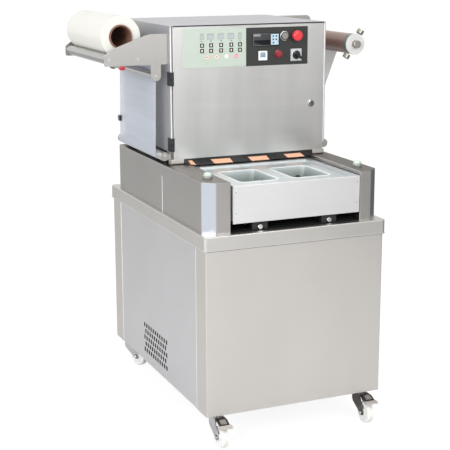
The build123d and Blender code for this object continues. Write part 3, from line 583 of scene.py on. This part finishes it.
# Ground rod: long thin glints.
rod_steel = lined_sheet("ground_rod_steel", "dedcd8", 0.2, (400, 3, 400), streak=0.04)
# Acetal: dull black.
pedestal_plastic = moulded("black_acetal_block", "26272b", 0.4)
# Painted shade: a black that gives nothing back, for the dark bay under the die.
bay_shade_black = moulded("black_painted_bay_shade", "08080a", 0.9, grit_mm=1.0)
eased("guide_rods", rod_steel, 0.8)
eased("slide_supports", pedestal_plastic, 0.8)
# A black sheet on the worktop in the bay is painted shade.
bm = bmesh.new()
slab(bm, bay_shade_x, bay_shade_y, (top_high.z, top_high.z + bay_shade_thickness))
show("bay_shade_sheet", bm, bay_shade_black, "sealer")

# The die is cast and machined aluminium with a raised rim, carried on a plate with four bearings,
# and it has a bright stainless front plate held by four screws.
front_low, front_high = box_mm("drawer_front")
front_screw_inset = 11.0
front_screw_z = (847.5, 922.5)
# Machined aluminium: a pale, cool satin.
die_metal = lined_sheet("machined_aluminium", "cfd5d7", 0.4, (400, 3, 3), streak=0.01, bump=0.02,
                        metallic=0.75)
# Carriage plate: dark grey satin, hardly seen.
carriage_metal = lined_sheet("dark_carriage_plate", "6d6c6c", 0.4, (500, 3, 3))
# Fine-ground front plate: level strokes, nearly white.
front_plate = lined_sheet("satin_front_plate", "e9e9ea", 0.45, (3, 3, 420), streak=0.02)
eased("tray_die", die_metal, 1.0)
eased("slide_carriage", carriage_metal, 0.6)
eased("drawer_front", front_plate, 0.5)
screws("drawer_front_screws",
       [(x, front_low.y, z)
        for x in (front_low.x + front_screw_inset, front_high.x - front_screw_inset)
        for z in front_screw_z], "front", "drawer", radius=2.4)

# The trays are thin moulded plastic with a rolled lip. Light falls off inside them, so the walls
# go from a white lip to a grey-green foot. A black stopper stands in the right one.
tray_levels = (0.896, 0.922, 0.935, 0.9375)
tray_colours = ("75807b", "98a3a1", "b4bec1", "f1f5f6")
# Moulded plastic: a soft gloss, white at the lip and darker with depth.
tray_plastic = moulded("moulded_tray_plastic", "ffffff", 0.3, coat=0.2)
tree = tray_plastic.node_tree
place = add_node(tree, "ShaderNodeTexCoord")
height = add_node(tree, "ShaderNodeSeparateXYZ", {"Vector": place.outputs["Object"]})
climb = add_node(tree, "ShaderNodeMapRange", {
    "Value": height.outputs["Z"], "From Min": tray_levels[0], "From Max": tray_levels[-1],
    "To Min": 0.0, "To Max": 1.0})
ramp = add_node(tree, "ShaderNodeValToRGB", {"Fac": climb.outputs[0]},
                tree.nodes["Principled BSDF"].inputs["Base Color"])
while len(ramp.color_ramp.elements) < len(tray_levels):
    ramp.color_ramp.elements.new(0.5)
for element, level, colour in zip(ramp.color_ramp.elements, tray_levels, tray_colours):
    element.position = (level - tray_levels[0]) / (tray_levels[-1] - tray_levels[0])
    element.color = srgb(colour)
# Rubber: dull black.
stopper_rubber = moulded("black_rubber_stopper", "1b1c1e", 0.5)
eased("trays", tray_plastic, 0.4)
stopper_place = (153.0, -207.0, 888.0)
stopper_rings = [(0, 0), (10, 0), (11, 2), (11, 9), (9, 13), (5, 15), (0, 15.5)]
bm = bmesh.new()
turned_piece(bm, stopper_place, "top", stopper_rings)
show("tray_stopper", bm, stopper_rubber, "drawer")

# The head is a folded stainless case on two cross bars with rounded feet. A white strip along the
# front edge of each side is a painted highlight. A black sensor watches the edge of the film from
# an arm on its left side.
side_low, side_high = box_mm("head_sides")
side_screw_y = (-64.0, side_high.y - 30)
side_screw_z = 1090.0
head_edge_x = (side_low.x + 0.4, side_high.x - 6.6)
head_edge_width = 2.2
head_edge_y = (side_low.y - 0.3, side_low.y + 1.6)
head_edge_short = 4.0
sensor_x, sensor_y, sensor_z = (-369.0, -361.0), (345.0, 367.0), (1069.0, 1092.0)
arm_x = (sensor_x[0] + 2, sensor_x[0] + 5)
arm_back = sensor_y[1] + 14
arm_z = (1078.0, 1083.0)
# Ground sides: cool grey with level strokes.
head_steel = lined_sheet("ground_stainless_head", "c4c4c5", 0.42, (3, 3, 520), metallic=0.7)
# Brushed bars: a warm satin.
frame_steel = lined_sheet("satin_frame_steel", "d6d4d1", 0.4, (3, 400, 400))
# Ground top: a cool grey, its strokes from side to side.
head_top_steel = lined_sheet("ground_stainless_top", "bfbfc5", 0.5, (3, 420, 3), metallic=0.55)
# Moulded plastic: glossy black.
knob_black = moulded("black_knob", "161617", 0.3, coat=0.3)
eased("head_frame", frame_steel, 1.2)
eased("sealing_tool", die_metal, 0.8)
eased("head_sides", head_steel, 0.6)
eased("head_top", head_top_steel, 0.8, fold=2.0)
eased("head_back", head_steel, 0.5)
screws("head_side_screws", [(side_low.x, y, side_screw_z) for y in side_screw_y],
       "left", "sealer", radius=2.4)
# A white strip along each side's front edge is a painted highlight.
bm = bmesh.new()
for x in head_edge_x:
    slab(bm, (x, x + head_edge_width), head_edge_y,
         (side_low.z + head_edge_short, side_high.z - head_edge_short))
show("head_front_edge_highlights", bm, edge_highlight_white, "sealer")
bm = bmesh.new()
slab(bm, sensor_x, sensor_y, sensor_z, 1.5)
show("film_sensor", bm, knob_black, "sealer")
bm = bmesh.new()
slab(bm, arm_x, (sensor_y[1] - 2, arm_back), arm_z, 0.4)
slab(bm, (arm_x[0], side_low.x + 0.5), (arm_back - 3, arm_back), arm_z, 0.4)
show("film_sensor_arm", bm, frame_steel, "sealer")

# A black guard strip closes the front under the door, with slanted peach marks printed on it.
strip_face = box_mm("front_strip")[0].y
mark_lift = 0.25
mark_corners = [((-250, 971), (-235, 971), (-217, 953), (-238, 955)),
                ((-160, 969.5), (-81, 969), (-66, 952), (-141, 952)),
                ((-7, 968), (71, 968), (86.5, 951.5), (11.5, 951.5)),
                ((145, 968), (217, 968.5), (236, 953.5), (164, 953))]
# Lacquer: black with a soft gloss, also used for a painted shadow above the door.
strip_and_shadow_black = moulded("black_lacquer_and_painted_shadow", "1d1b1b", 0.3, coat=0.3)
# Print: flat peach.
mark_peach = moulded("peach_printed_mark", "f2bb9a", 0.4)
eased("front_strip", strip_and_shadow_black, 0.4)
bm = bmesh.new()
for corners in mark_corners:
    outline = [bm.verts.new((x * mm, (strip_face - mark_lift) * mm, z * mm)) for x, z in corners]
    mark = bm.faces.new(outline)
    raised = bmesh.ops.extrude_face_region(bm, geom=[mark])
    lifted = [v for v in raised["geom"] if isinstance(v, bmesh.types.BMVert)]
    bmesh.ops.translate(bm, verts=lifted, vec=(0, mark_lift * mm, 0))
bmesh.ops.recalc_face_normals(bm, faces=bm.faces)
show("strip_marks", bm, mark_peach, "sealer")

# The door is a folded stainless tray, hinged on the left, with a key lock on the right. A thin
# black strip above it is a painted shadow in the gap under the head top.
door_low, door_high = box_mm("head_door")
shadow_gap_y = (side_low.y - 0.4, side_low.y + 3.0)
shadow_gap_z = (1464.2, 1468.8)
lock_low, lock_high = box_mm("door_lock")
lock_middle = (lock_low + lock_high) / 2
keyway_half = (0.8, 4.0)
keyway_lift = 0.3
lock_ring = [(7.2, -0.2), (7.2, 0.35), (8.6, 0.35), (8.6, -0.2), (7.2, -0.2)]
# Ground sheet: level strokes with leaning, soft bands of light.
door_steel = lined_sheet("ground_stainless_door", "d3d3d2", 0.36, (3, 3, 520), smudge=0.07,
                         bands=(9.0, 9.0, 1.2), lean=28)
# Painted hinge: dull black.
hinge_black = moulded("black_painted_hinge", "24252a", 0.38)
eased("head_door", door_steel, 0.6, fold=2.0)
# A thin black strip above the door is a painted shadow in the gap.
bm = bmesh.new()
slab(bm, (door_low.x + 1, door_high.x - 1), shadow_gap_y, shadow_gap_z)
show("door_top_shadow", bm, strip_and_shadow_black, "sealer")
eased("door_lock", bright_chrome, 0.5)
eased("hinge_door_leaves", hinge_black, 0.5)
eased("hinge_frame_leaves", hinge_black, 0.5)
bm = bmesh.new()
slab(bm, (lock_middle.x - keyway_half[0], lock_middle.x + keyway_half[0]),
     (lock_low.y - keyway_lift, lock_low.y + keyway_lift),
     (lock_middle.z - keyway_half[1], lock_middle.z + keyway_half[1]))
turned_piece(bm, (lock_middle.x, lock_low.y, lock_middle.z), "front", lock_ring)
show("lock_keyway", bm, knob_black, "door")

# The membrane keypad is a printed film: grey display windows with scale ticks above, small signs,
# black keys with cream ovals, and four round keys, two of them ringed in peach and one pink.
print_face = box_mm("keypad_panel")[0].y
column_x = (-193.0, -157.0, -117.0, -76.0, -41.0)
window_spans = ((-201.0, -186.0), (-172.5, -146.0), (-131.0, -106.0), (-90.6, -65.0),
                (-48.5, -34.6))
window_middle_z = 1426.0
window_half_high = 10.0
window_rim = (1.4, 2.0)
window_drop = 0.5
ticks = 4
tick_half = (0.7, 1.0)
tick_rise = 2.6
sign_x = (-195.0, -158.0, -117.0, -76.0, -41.0)
sign_z = 1410.0
sign_apart = 2.0
sign_half = (1.2, 1.6)
key_rows = (1394.5, 1374.5)
key_half = 7.75
oval_radius = 2.6
oval_stretch = 1.75
round_x = (-173.6, -135.9, -95.5, -56.8)
round_z = 1352.0
round_r = 8.0
dot_r = 2.2
stop_bar_half = (6.0, 1.1)
brown_bar_half = (4.6, 1.6)
first_print = 0.2
second_print = 0.3
third_print = 0.4
dot_print = 0.45
# Printed film: flat, matt colours; the windows shine a little more.
keypad_green = moulded("printed_green_film", "bdc9be", 0.45, variation=0.015)
window_grey = moulded("grey_window_film", "b4b9bb", 0.3)
window_edge = moulded("window_outline", "8f9a95", 0.4)
key_black = moulded("black_key_print", "26231f", 0.4)
key_cream = moulded("cream_key_print", "f1e9dc", 0.4)
key_peach = moulded("peach_key_print", "f0b79a", 0.4)
key_brown = moulded("brown_key_print", "6b4a3a", 0.4)
key_pink = moulded("pink_key_print", "ee7f9d", 0.4)
eased("keypad_panel", keypad_green, 0.4)


def printed(bm, x, z, half_wide, half_high, lift=first_print):
    """Adds a thin printed field on the keypad, centred at x and z. The prints lie in layers, and
    lift is how far a layer stands out."""
    slab(bm, (x - half_wide, x + half_wide), (print_face - lift, print_face),
         (z - half_high, z + half_high))


def printed_disc(bm, x, z, radius, lift=first_print, face=print_face):
    """Adds a thin printed disc, standing lift in front of the face."""
    turned_piece(bm, (x, face, z), "front", [(0, 0), (radius, 0), (radius, lift), (0, lift)])


bm = bmesh.new()
for low, high in window_spans:
    printed(bm, (low + high) / 2, window_middle_z, (high - low) / 2, window_half_high)
    for k in range(ticks):
        printed(bm, low + (high - low) * (k + 0.5) / ticks,
                window_middle_z + window_half_high + tick_rise, *tick_half)
show("keypad_outlines", bm, window_edge, "door")
bm = bmesh.new()
for low, high in window_spans:
    printed(bm, (low + high) / 2, window_middle_z - window_drop,
            (high - low) / 2 - window_rim[0], window_half_high - window_rim[1], second_print)
show("keypad_windows", bm, window_grey, "door")
bm = bmesh.new()
for x in column_x:
    for z in key_rows:
        printed(bm, x, z, key_half, key_half)
for x in sign_x:
    for shift in (-sign_apart, sign_apart):
        printed(bm, x + shift, sign_z, *sign_half)
printed_disc(bm, round_x[1], round_z, dot_r, dot_print)
show("keypad_keys", bm, key_black, "door")
bm = bmesh.new()
for x in column_x:
    for z in key_rows:
        bmesh.ops.create_cone(bm, cap_ends=True, segments=24, radius1=oval_radius * mm,
                              radius2=oval_radius * mm, depth=second_print * mm,
                              matrix=Matrix.Translation(
                                  Vector((x, print_face - second_print / 2, z)) * mm)
                              @ facing["front"] @ Matrix.Diagonal((1.0, oval_stretch, 1.0, 1.0)))
for x in round_x[:2]:
    printed_disc(bm, x, round_z, round_r - dot_r, second_print)
printed_disc(bm, round_x[2], round_z, round_r)
printed(bm, round_x[3], round_z, *stop_bar_half, third_print)
show("keypad_cream_prints", bm, key_cream, "door")
bm = bmesh.new()
for x in round_x[:2]:
    printed_disc(bm, x, round_z, round_r)
show("keypad_peach_rings", bm, key_peach, "door")
bm = bmesh.new()
printed(bm, round_x[0], round_z, *brown_bar_half, third_print)
show("keypad_brown_band", bm, key_brown, "door")
bm = bmesh.new()
printed_disc(bm, round_x[3], round_z, round_r)
show("keypad_stop_print", bm, key_pink, "door")

# The switch panel is a black printed film that carries the instruments: a controller with a dark
# rounded cover and a light blue key film, a pressure display, a lamp, a switch and two buttons.
controller_low, controller_high = box_mm("temperature_controller")
controller_face = controller_low.y
key_places = ((92.5, 1421), (105.2, 1421), (92.6, 1409), (105.3, 1409), (93, 1397))
key_radius = 3.2
key_lift = 0.6
display_face = box_mm("pressure_display")[0].y
screen_x = (41.0, 62.0)
screen_z = (1343.5, 1361.5)
# The film is matt, the cases have a soft gloss, and the cover, the screen and the lens glint.
panel_black = moulded("black_printed_film", "2b2c2b", 0.5, variation=0.02)
instrument_black = moulded("black_instrument_case", "121316", 0.25, coat=0.5)
display_white = moulded("white_display_case", "e9eef0", 0.3)
screen_blue = moulded("blue_grey_screen", "8d9db1", 0.15, coat=0.8)
key_film_blue = moulded("light_blue_key_film", "b9d3e2", 0.4)
cover_glass = moulded("dark_rounded_cover", "191b20", 0.06, coat=1.0)
# A grey rim round the cover is a painted highlight on its rounded edge.
cover_highlight_grey = moulded("grey_painted_cover_highlight", "6a6d71", 0.3)
lamp_red = moulded("red_lamp_lens", "8e1024", 0.15, coat=1.0)
eased("switch_panel", panel_black, 0.4)
eased("temperature_controller", instrument_black, 1.2)
eased("pressure_display", display_white, 0.8)
eased("alarm_lamp", lamp_red, 1.0)
# The controller's front: each part's two sides, its inset at top and foot, how far it stands out
# of the case and reaches into it, and how much its edges are rounded.
for name, material, x, inset, lift, sunk, rounded in (
        ("controller_cover_rim", cover_highlight_grey, (10.6, 83.0), 1.8, 0.2, 1.5, 0.4),
        ("controller_cover", cover_glass, (12.0, 82.0), 3.0, 0.4, 1.5, 0.7),
        ("controller_key_film", key_film_blue, (83.5, 114.5), 4.0, 0.3, 1.0, 0.0)):
    bm = bmesh.new()
    slab(bm, x, (controller_face - lift, controller_face + sunk),
         (controller_low.z + inset, controller_high.z - inset), rounded)
    show(name, bm, material, "door")
bm = bmesh.new()
for x, z in key_places:
    printed_disc(bm, x, z, key_radius, key_lift, controller_face)
show("controller_keys", bm, key_black, "door")
bm = bmesh.new()
slab(bm, screen_x, (display_face - 0.3, display_face + 1.0), screen_z, 0.2)
show("display_screen", bm, screen_blue, "door")

# The selector switch is a satin plate with a black dial ring and grip. Start is a satin push
# button in a dark ring and a chromed bezel, and stop a red mushroom.
plate_low, plate_high = box_mm("switch_plate")
plate_middle = (plate_low + plate_high) / 2
dial_rings = [(0, -0.2), (16.5, -0.2), (16.5, 0.4), (15.7, 1.2), (0, 1.2)]
start_low, start_high = box_mm("start_button")
start_middle = (start_low + start_high) / 2
panel_face = box_mm("switch_panel")[0].y
bezel_face = box_mm("button_bezels")[0].y - 0.3
panel_ring = [(18.6, -0.2), (18.6, 1.4), (21.0, 1.0), (21.2, -0.2), (18.6, -0.2)]
bezel_ring = [(13.3, -0.5), (13.3, 0.2), (15.6, 0.2), (15.6, -0.5), (13.3, -0.5)]
# Brushed plate: bright satin.
switch_silver = lined_sheet("satin_switch_plate", "dfe3e8", 0.35, (300, 3, 300), streak=0.02)
# Turned button: darker satin.
start_steel = lined_sheet("satin_start_button", "94928f", 0.35, (300, 3, 300), metallic=0.5)
# Moulded mushroom: clear red with a soft gloss.
stop_red = moulded("red_stop_mushroom", "dc2f3a", 0.3, coat=0.4)
eased("switch_plate", switch_silver, 0.6)
eased("button_bezels", bright_chrome, 0.5)
eased("start_button", start_steel, 0.6)
eased("emergency_stop", stop_red, 1.0)
eased("switch_knob", knob_black, 0.8)
bm = bmesh.new()
turned_piece(bm, (plate_middle.x, plate_low.y, plate_middle.z), "front", dial_rings)
show("switch_dial", bm, knob_black, "door")
bm = bmesh.new()
turned_piece(bm, (start_middle.x, panel_face, start_middle.z), "front", panel_ring)
turned_piece(bm, (start_middle.x, bezel_face, start_middle.z), "front", bezel_ring)
show("start_ring", bm, knob_black, "door")

# The film bracket is two folded stainless plates on the left of the head, tied by a bar, with the
# support rollers and the guide roller between them, held by slotted screws. A red oval grip sets
# the film brake under the front plate.
bracket_face = box_mm("film_bracket")[0].y
carrier_face = box_mm("lower_roller_carriers")[0].y
brake_grip_place = Vector((-496.5, -83.0, 1322.6)) * mm
brake_grip_rings = [(0, 0), (8, 0), (9, 1.5), (9, 7), (7, 9), (0, 9.5)]
brake_grip_stretch = (1.35, 1.0, 0.8)
# Ground plates: mid-grey with level strokes.
bracket_steel = lined_sheet("ground_stainless_bracket", "b6b4b2", 0.38, (3, 3, 520))
# Chromed rollers: long sharp lines of light.
roller_chrome = lined_sheet("polished_roller", "b4b4b3", 0.2, (3, 300, 3), streak=0.02,
                            bump=0.03)
# Turned aluminium: softer and paler lines.
roller_aluminium = lined_sheet("turned_aluminium_roller", "c8c8ca", 0.3, (3, 600, 3))
# Zinc plating: a pale, even head.
plated_screw = lined_sheet("bright_plated_screw", "c9c7c4", 0.4, (300, 300, 300), metallic=0.4)
eased("film_bracket", bracket_steel, 0.6)
eased("support_roller_outer", roller_chrome, 0.6)
eased("support_roller_inner", roller_chrome, 0.6)
for name in ("upper_guide_roller", "lower_roller_left", "lower_roller_right"):
    eased(name, roller_aluminium, 0.6)
eased("lower_roller_carriers", bracket_steel, 0.6)
screws("bracket_screws", [(-541, bracket_face, 1354), (-435, bracket_face, 1353),
                          (-366, bracket_face, 1288)],
       "front", "sealer", 5.8, 20, 2, plated_screw)
screws("lower_roller_screws", [(-341, carrier_face, 995.7)],
       "front", "sealer", 5.5, 110, 2, plated_screw)
bm = bmesh.new()
turned_piece(bm, (0, 0, 0), "front", brake_grip_rings)
bmesh.ops.scale(bm, verts=bm.verts, vec=brake_grip_stretch)
bmesh.ops.translate(bm, verts=bm.verts, vec=brake_grip_place)
show("brake_grip", bm, grip_red, "sealer")

# The reel is clear film wound on a card core. Wound up, the film is an even off-white with a
# faint sheen. The card is matt brown and a little mottled.
card_brown = moulded("wound_card_core", "835f4d", 0.75, grit_mm=1.5, depth=0.2, variation=0.08)
wound_film = moulded("wound_film", "dfdfd9", 0.35, coat=0.2, variation=0.01)
eased("reel_core", card_brown, 0.5)
eased("film_roll", wound_film, 1.5)

# The film web is thin clear film; many layers of reflection make it look milky and faintly blue,
# with soft bands across its run. The cut waste at the right is clearer and whiter.
film_skin = lined_sheet("clear_film_web", "ccd3df", 0.3, (2, 2, 160), streak=0.0, smudge=0.06,
                        bump=0.0, metallic=0.0, bands=(1.5, 1.5, 60.0))
waste_skin = lined_sheet("cut_film_waste", "efefee", 0.3, (2, 2, 120), streak=0.04, metallic=0.0)
for skin, opacity in ((film_skin, 0.6), (waste_skin, 0.5)):
    skin.node_tree.nodes["Principled BSDF"].inputs["Alpha"].default_value = opacity
eased("film_web", film_skin, 0.1)
eased("film_waste", waste_skin, 0.1)

# The rewinder winds the cut film onto a brown core, clamped by a white disc and a grey collar
# with two knurled thumb screws. Paint and acetal have a soft shine, the wound card a faint gloss,
# and the knurls a grey sparkle.
collar_grey = moulded("grey_painted_collar", "666f71", 0.35)
disc_white = moulded("white_acetal_disc", "d6d6d5", 0.35)
rewind_card = moulded("wound_brown_card", "8b6c5e", 0.35, coat=0.3, grit_mm=1.2, depth=0.15,
                      variation=0.06)
knurled_steel = lined_sheet("knurled_steel", "a9a49d", 0.4, (500, 500, 500), streak=0.08)
rewind_steel = lined_sheet("ground_stainless_rewind_plate", "b4b2b0", 0.38, (3, 3, 520))
eased("rewind_core", rewind_card, 0.5)
eased("rewind_collar", collar_grey, 0.5)
eased("rewind_disc", disc_white, 0.8)
eased("rewind_shaft", knurled_steel, 0.8)
eased("rewind_bracket", rewind_steel, 0.6)
screws("rewind_plate_screws", [(x, 393.0, 1450) for x in (439, 490)], "front", "sealer")

# The castors have pressed stainless forks with bolt heads at the axle, and white nylon wheels with
# a tan moulding line round the tread. Each front one has a brake: a black frame over the pedal, a
# grey catch plate, a light toe plate and a black rubber pad on the wheel.
wheel_rings = [(6.6, -14), (12, -14), (14, -10), (27, -10), (31, -13), (36, -13.2),
               (38.6, -12.2), (39.8, -9.5), (39.8, 9.5), (38.6, 12.2), (36, 13.2), (31, 13),
               (27, 10), (14, 10), (12, 14), (6.6, 14), (6.6, -14)]
line_rings = [(39.0, -1.0), (40.0, -1.0), (40.0, 1.0), (39.0, 1.0), (39.0, -1.0)]
washer_rings = [(0, 0), (10, 0), (10, 1.2), (0, 1.2)]
bolt_rings = [(0, 3.9), (6.5, 3.9), (6.5, 5.2), (5.2, 6.4), (0, 6.6)]
cheek_face = 20.0
wheel_trail = 46.0
crown_z = box_mm("castor_fork_front_left")[1].z
# Pressed steel: bright with broad glints, and browner where it stands in shade.
castor_steel = lined_sheet("pressed_stainless", "cfcfd2", 0.28, (200, 200, 200), streak=0.03)
shaded_steel = lined_sheet("pressed_stainless_shaded", "8b827d", 0.3, (200, 200, 200),
                           streak=0.03)
# Nylon: clean white with a soft shine. Brake: flat black paint, grey and pale satin plates.
wheel_nylon = moulded("white_nylon_wheel", "eeefee", 0.4)
tan_line = moulded("tan_moulding_line", "dccfbc", 0.5)
brake_black = moulded("black_brake_frame", "1a1817", 0.4)
catch_grey = lined_sheet("grey_catch_plate", "aaa5a2", 0.35, (200, 200, 200))
toe_steel = lined_sheet("light_toe_plate", "d8d2cf", 0.35, (200, 200, 200))
# Half of the width of each part of the brake, and its outline (y, z) from the fork's axis.
brake_parts = {
    "frame": (brake_black, 19.5, [(-27, 0.4), (-50, 0.2), (-77, -11.2), (-77, -14), (-50, -7),
                                  (-27, -6)]),
    "catch": (catch_grey, 11.5, [(-42, 1.8), (-50, 1.4), (-69, -6.6), (-69, -8.5), (-50, -1),
                                 (-42, 0)]),
    "toe_plate": (toe_steel, 25.3, [(-75, -10.6), (-92.2, -15.2), (-91.8, -20.4),
                                    (-90.6, -20.4), (-90, -17), (-75, -13)]),
    "pad": (brake_black, 11.4, [(-70.4, -20.4), (-56.6, -20.4), (-56.6, -12), (-70.4, -12)])}


def pressed(bm, axis, half, line):
    """Adds a pressed part of one outline, seen from the side, as wide as twice half."""
    outline = [bm.verts.new(((axis.x - half) * mm, (axis.y + y) * mm, (crown_z + z) * mm))
               for y, z in line]
    cheek = bm.faces.new(outline)
    drawn = bmesh.ops.extrude_face_region(bm, geom=[cheek])
    far_side = [v for v in drawn["geom"] if isinstance(v, bmesh.types.BMVert)]
    bmesh.ops.translate(bm, verts=far_side, vec=(2 * half * mm, 0, 0))
    bmesh.ops.recalc_face_normals(bm, faces=bm.faces)


eased("castor_plates", castor_steel, 0.6)
# How far each castor stands turned about its upright axis, in degrees.
castor_turn = {"front_left": 0, "front_right": 0, "rear_left": 22, "rear_right": 0}
for place, turn in castor_turn.items():
    fork = "castor_fork_" + place
    wheel = "castor_wheel_" + place
    eased(fork, shaded_steel if place == "front_right" else castor_steel, 0.5)
    wheel_low, wheel_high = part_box(wheel)
    middle = (wheel_low + wheel_high) / 2
    seat = Matrix.Translation(middle) @ Matrix.Rotation(math.radians(turn), 4, "Z")
    wheel_body = frame["nodes"][wheel]["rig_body"]
    fork_body = frame["nodes"][fork]["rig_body"]
    bm = bmesh.new()
    turned_piece(bm, seat, "right", wheel_rings, segments=64)
    tyre = show(wheel + "_turned", bm, wheel_nylon, wheel_body)
    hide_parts(wheel)
    bm = bmesh.new()
    turned_piece(bm, seat, "right", line_rings, segments=64)
    show(wheel + "_line", bm, tan_line, wheel_body)
    for material, rings, what in ((brake_black, washer_rings, "washers"),
                                  (castor_steel, bolt_rings, "bolts")):
        bm = bmesh.new()
        for side, out in (("left", -1), ("right", 1)):
            cheek = seat @ Matrix.Translation((out * cheek_face * mm, 0, 0))
            turned_piece(bm, cheek, side, rings)
        show(f"castor_{what}_{place}", bm, material, fork_body)
    if "front" in place:
        axis = middle / mm + Vector((0, wheel_trail, 0))
        for what, (material, half, line) in brake_parts.items():
            bm = bmesh.new()
            pressed(bm, axis, half, line)
            show(f"brake_{what}_{place}", bm, material, fork_body)
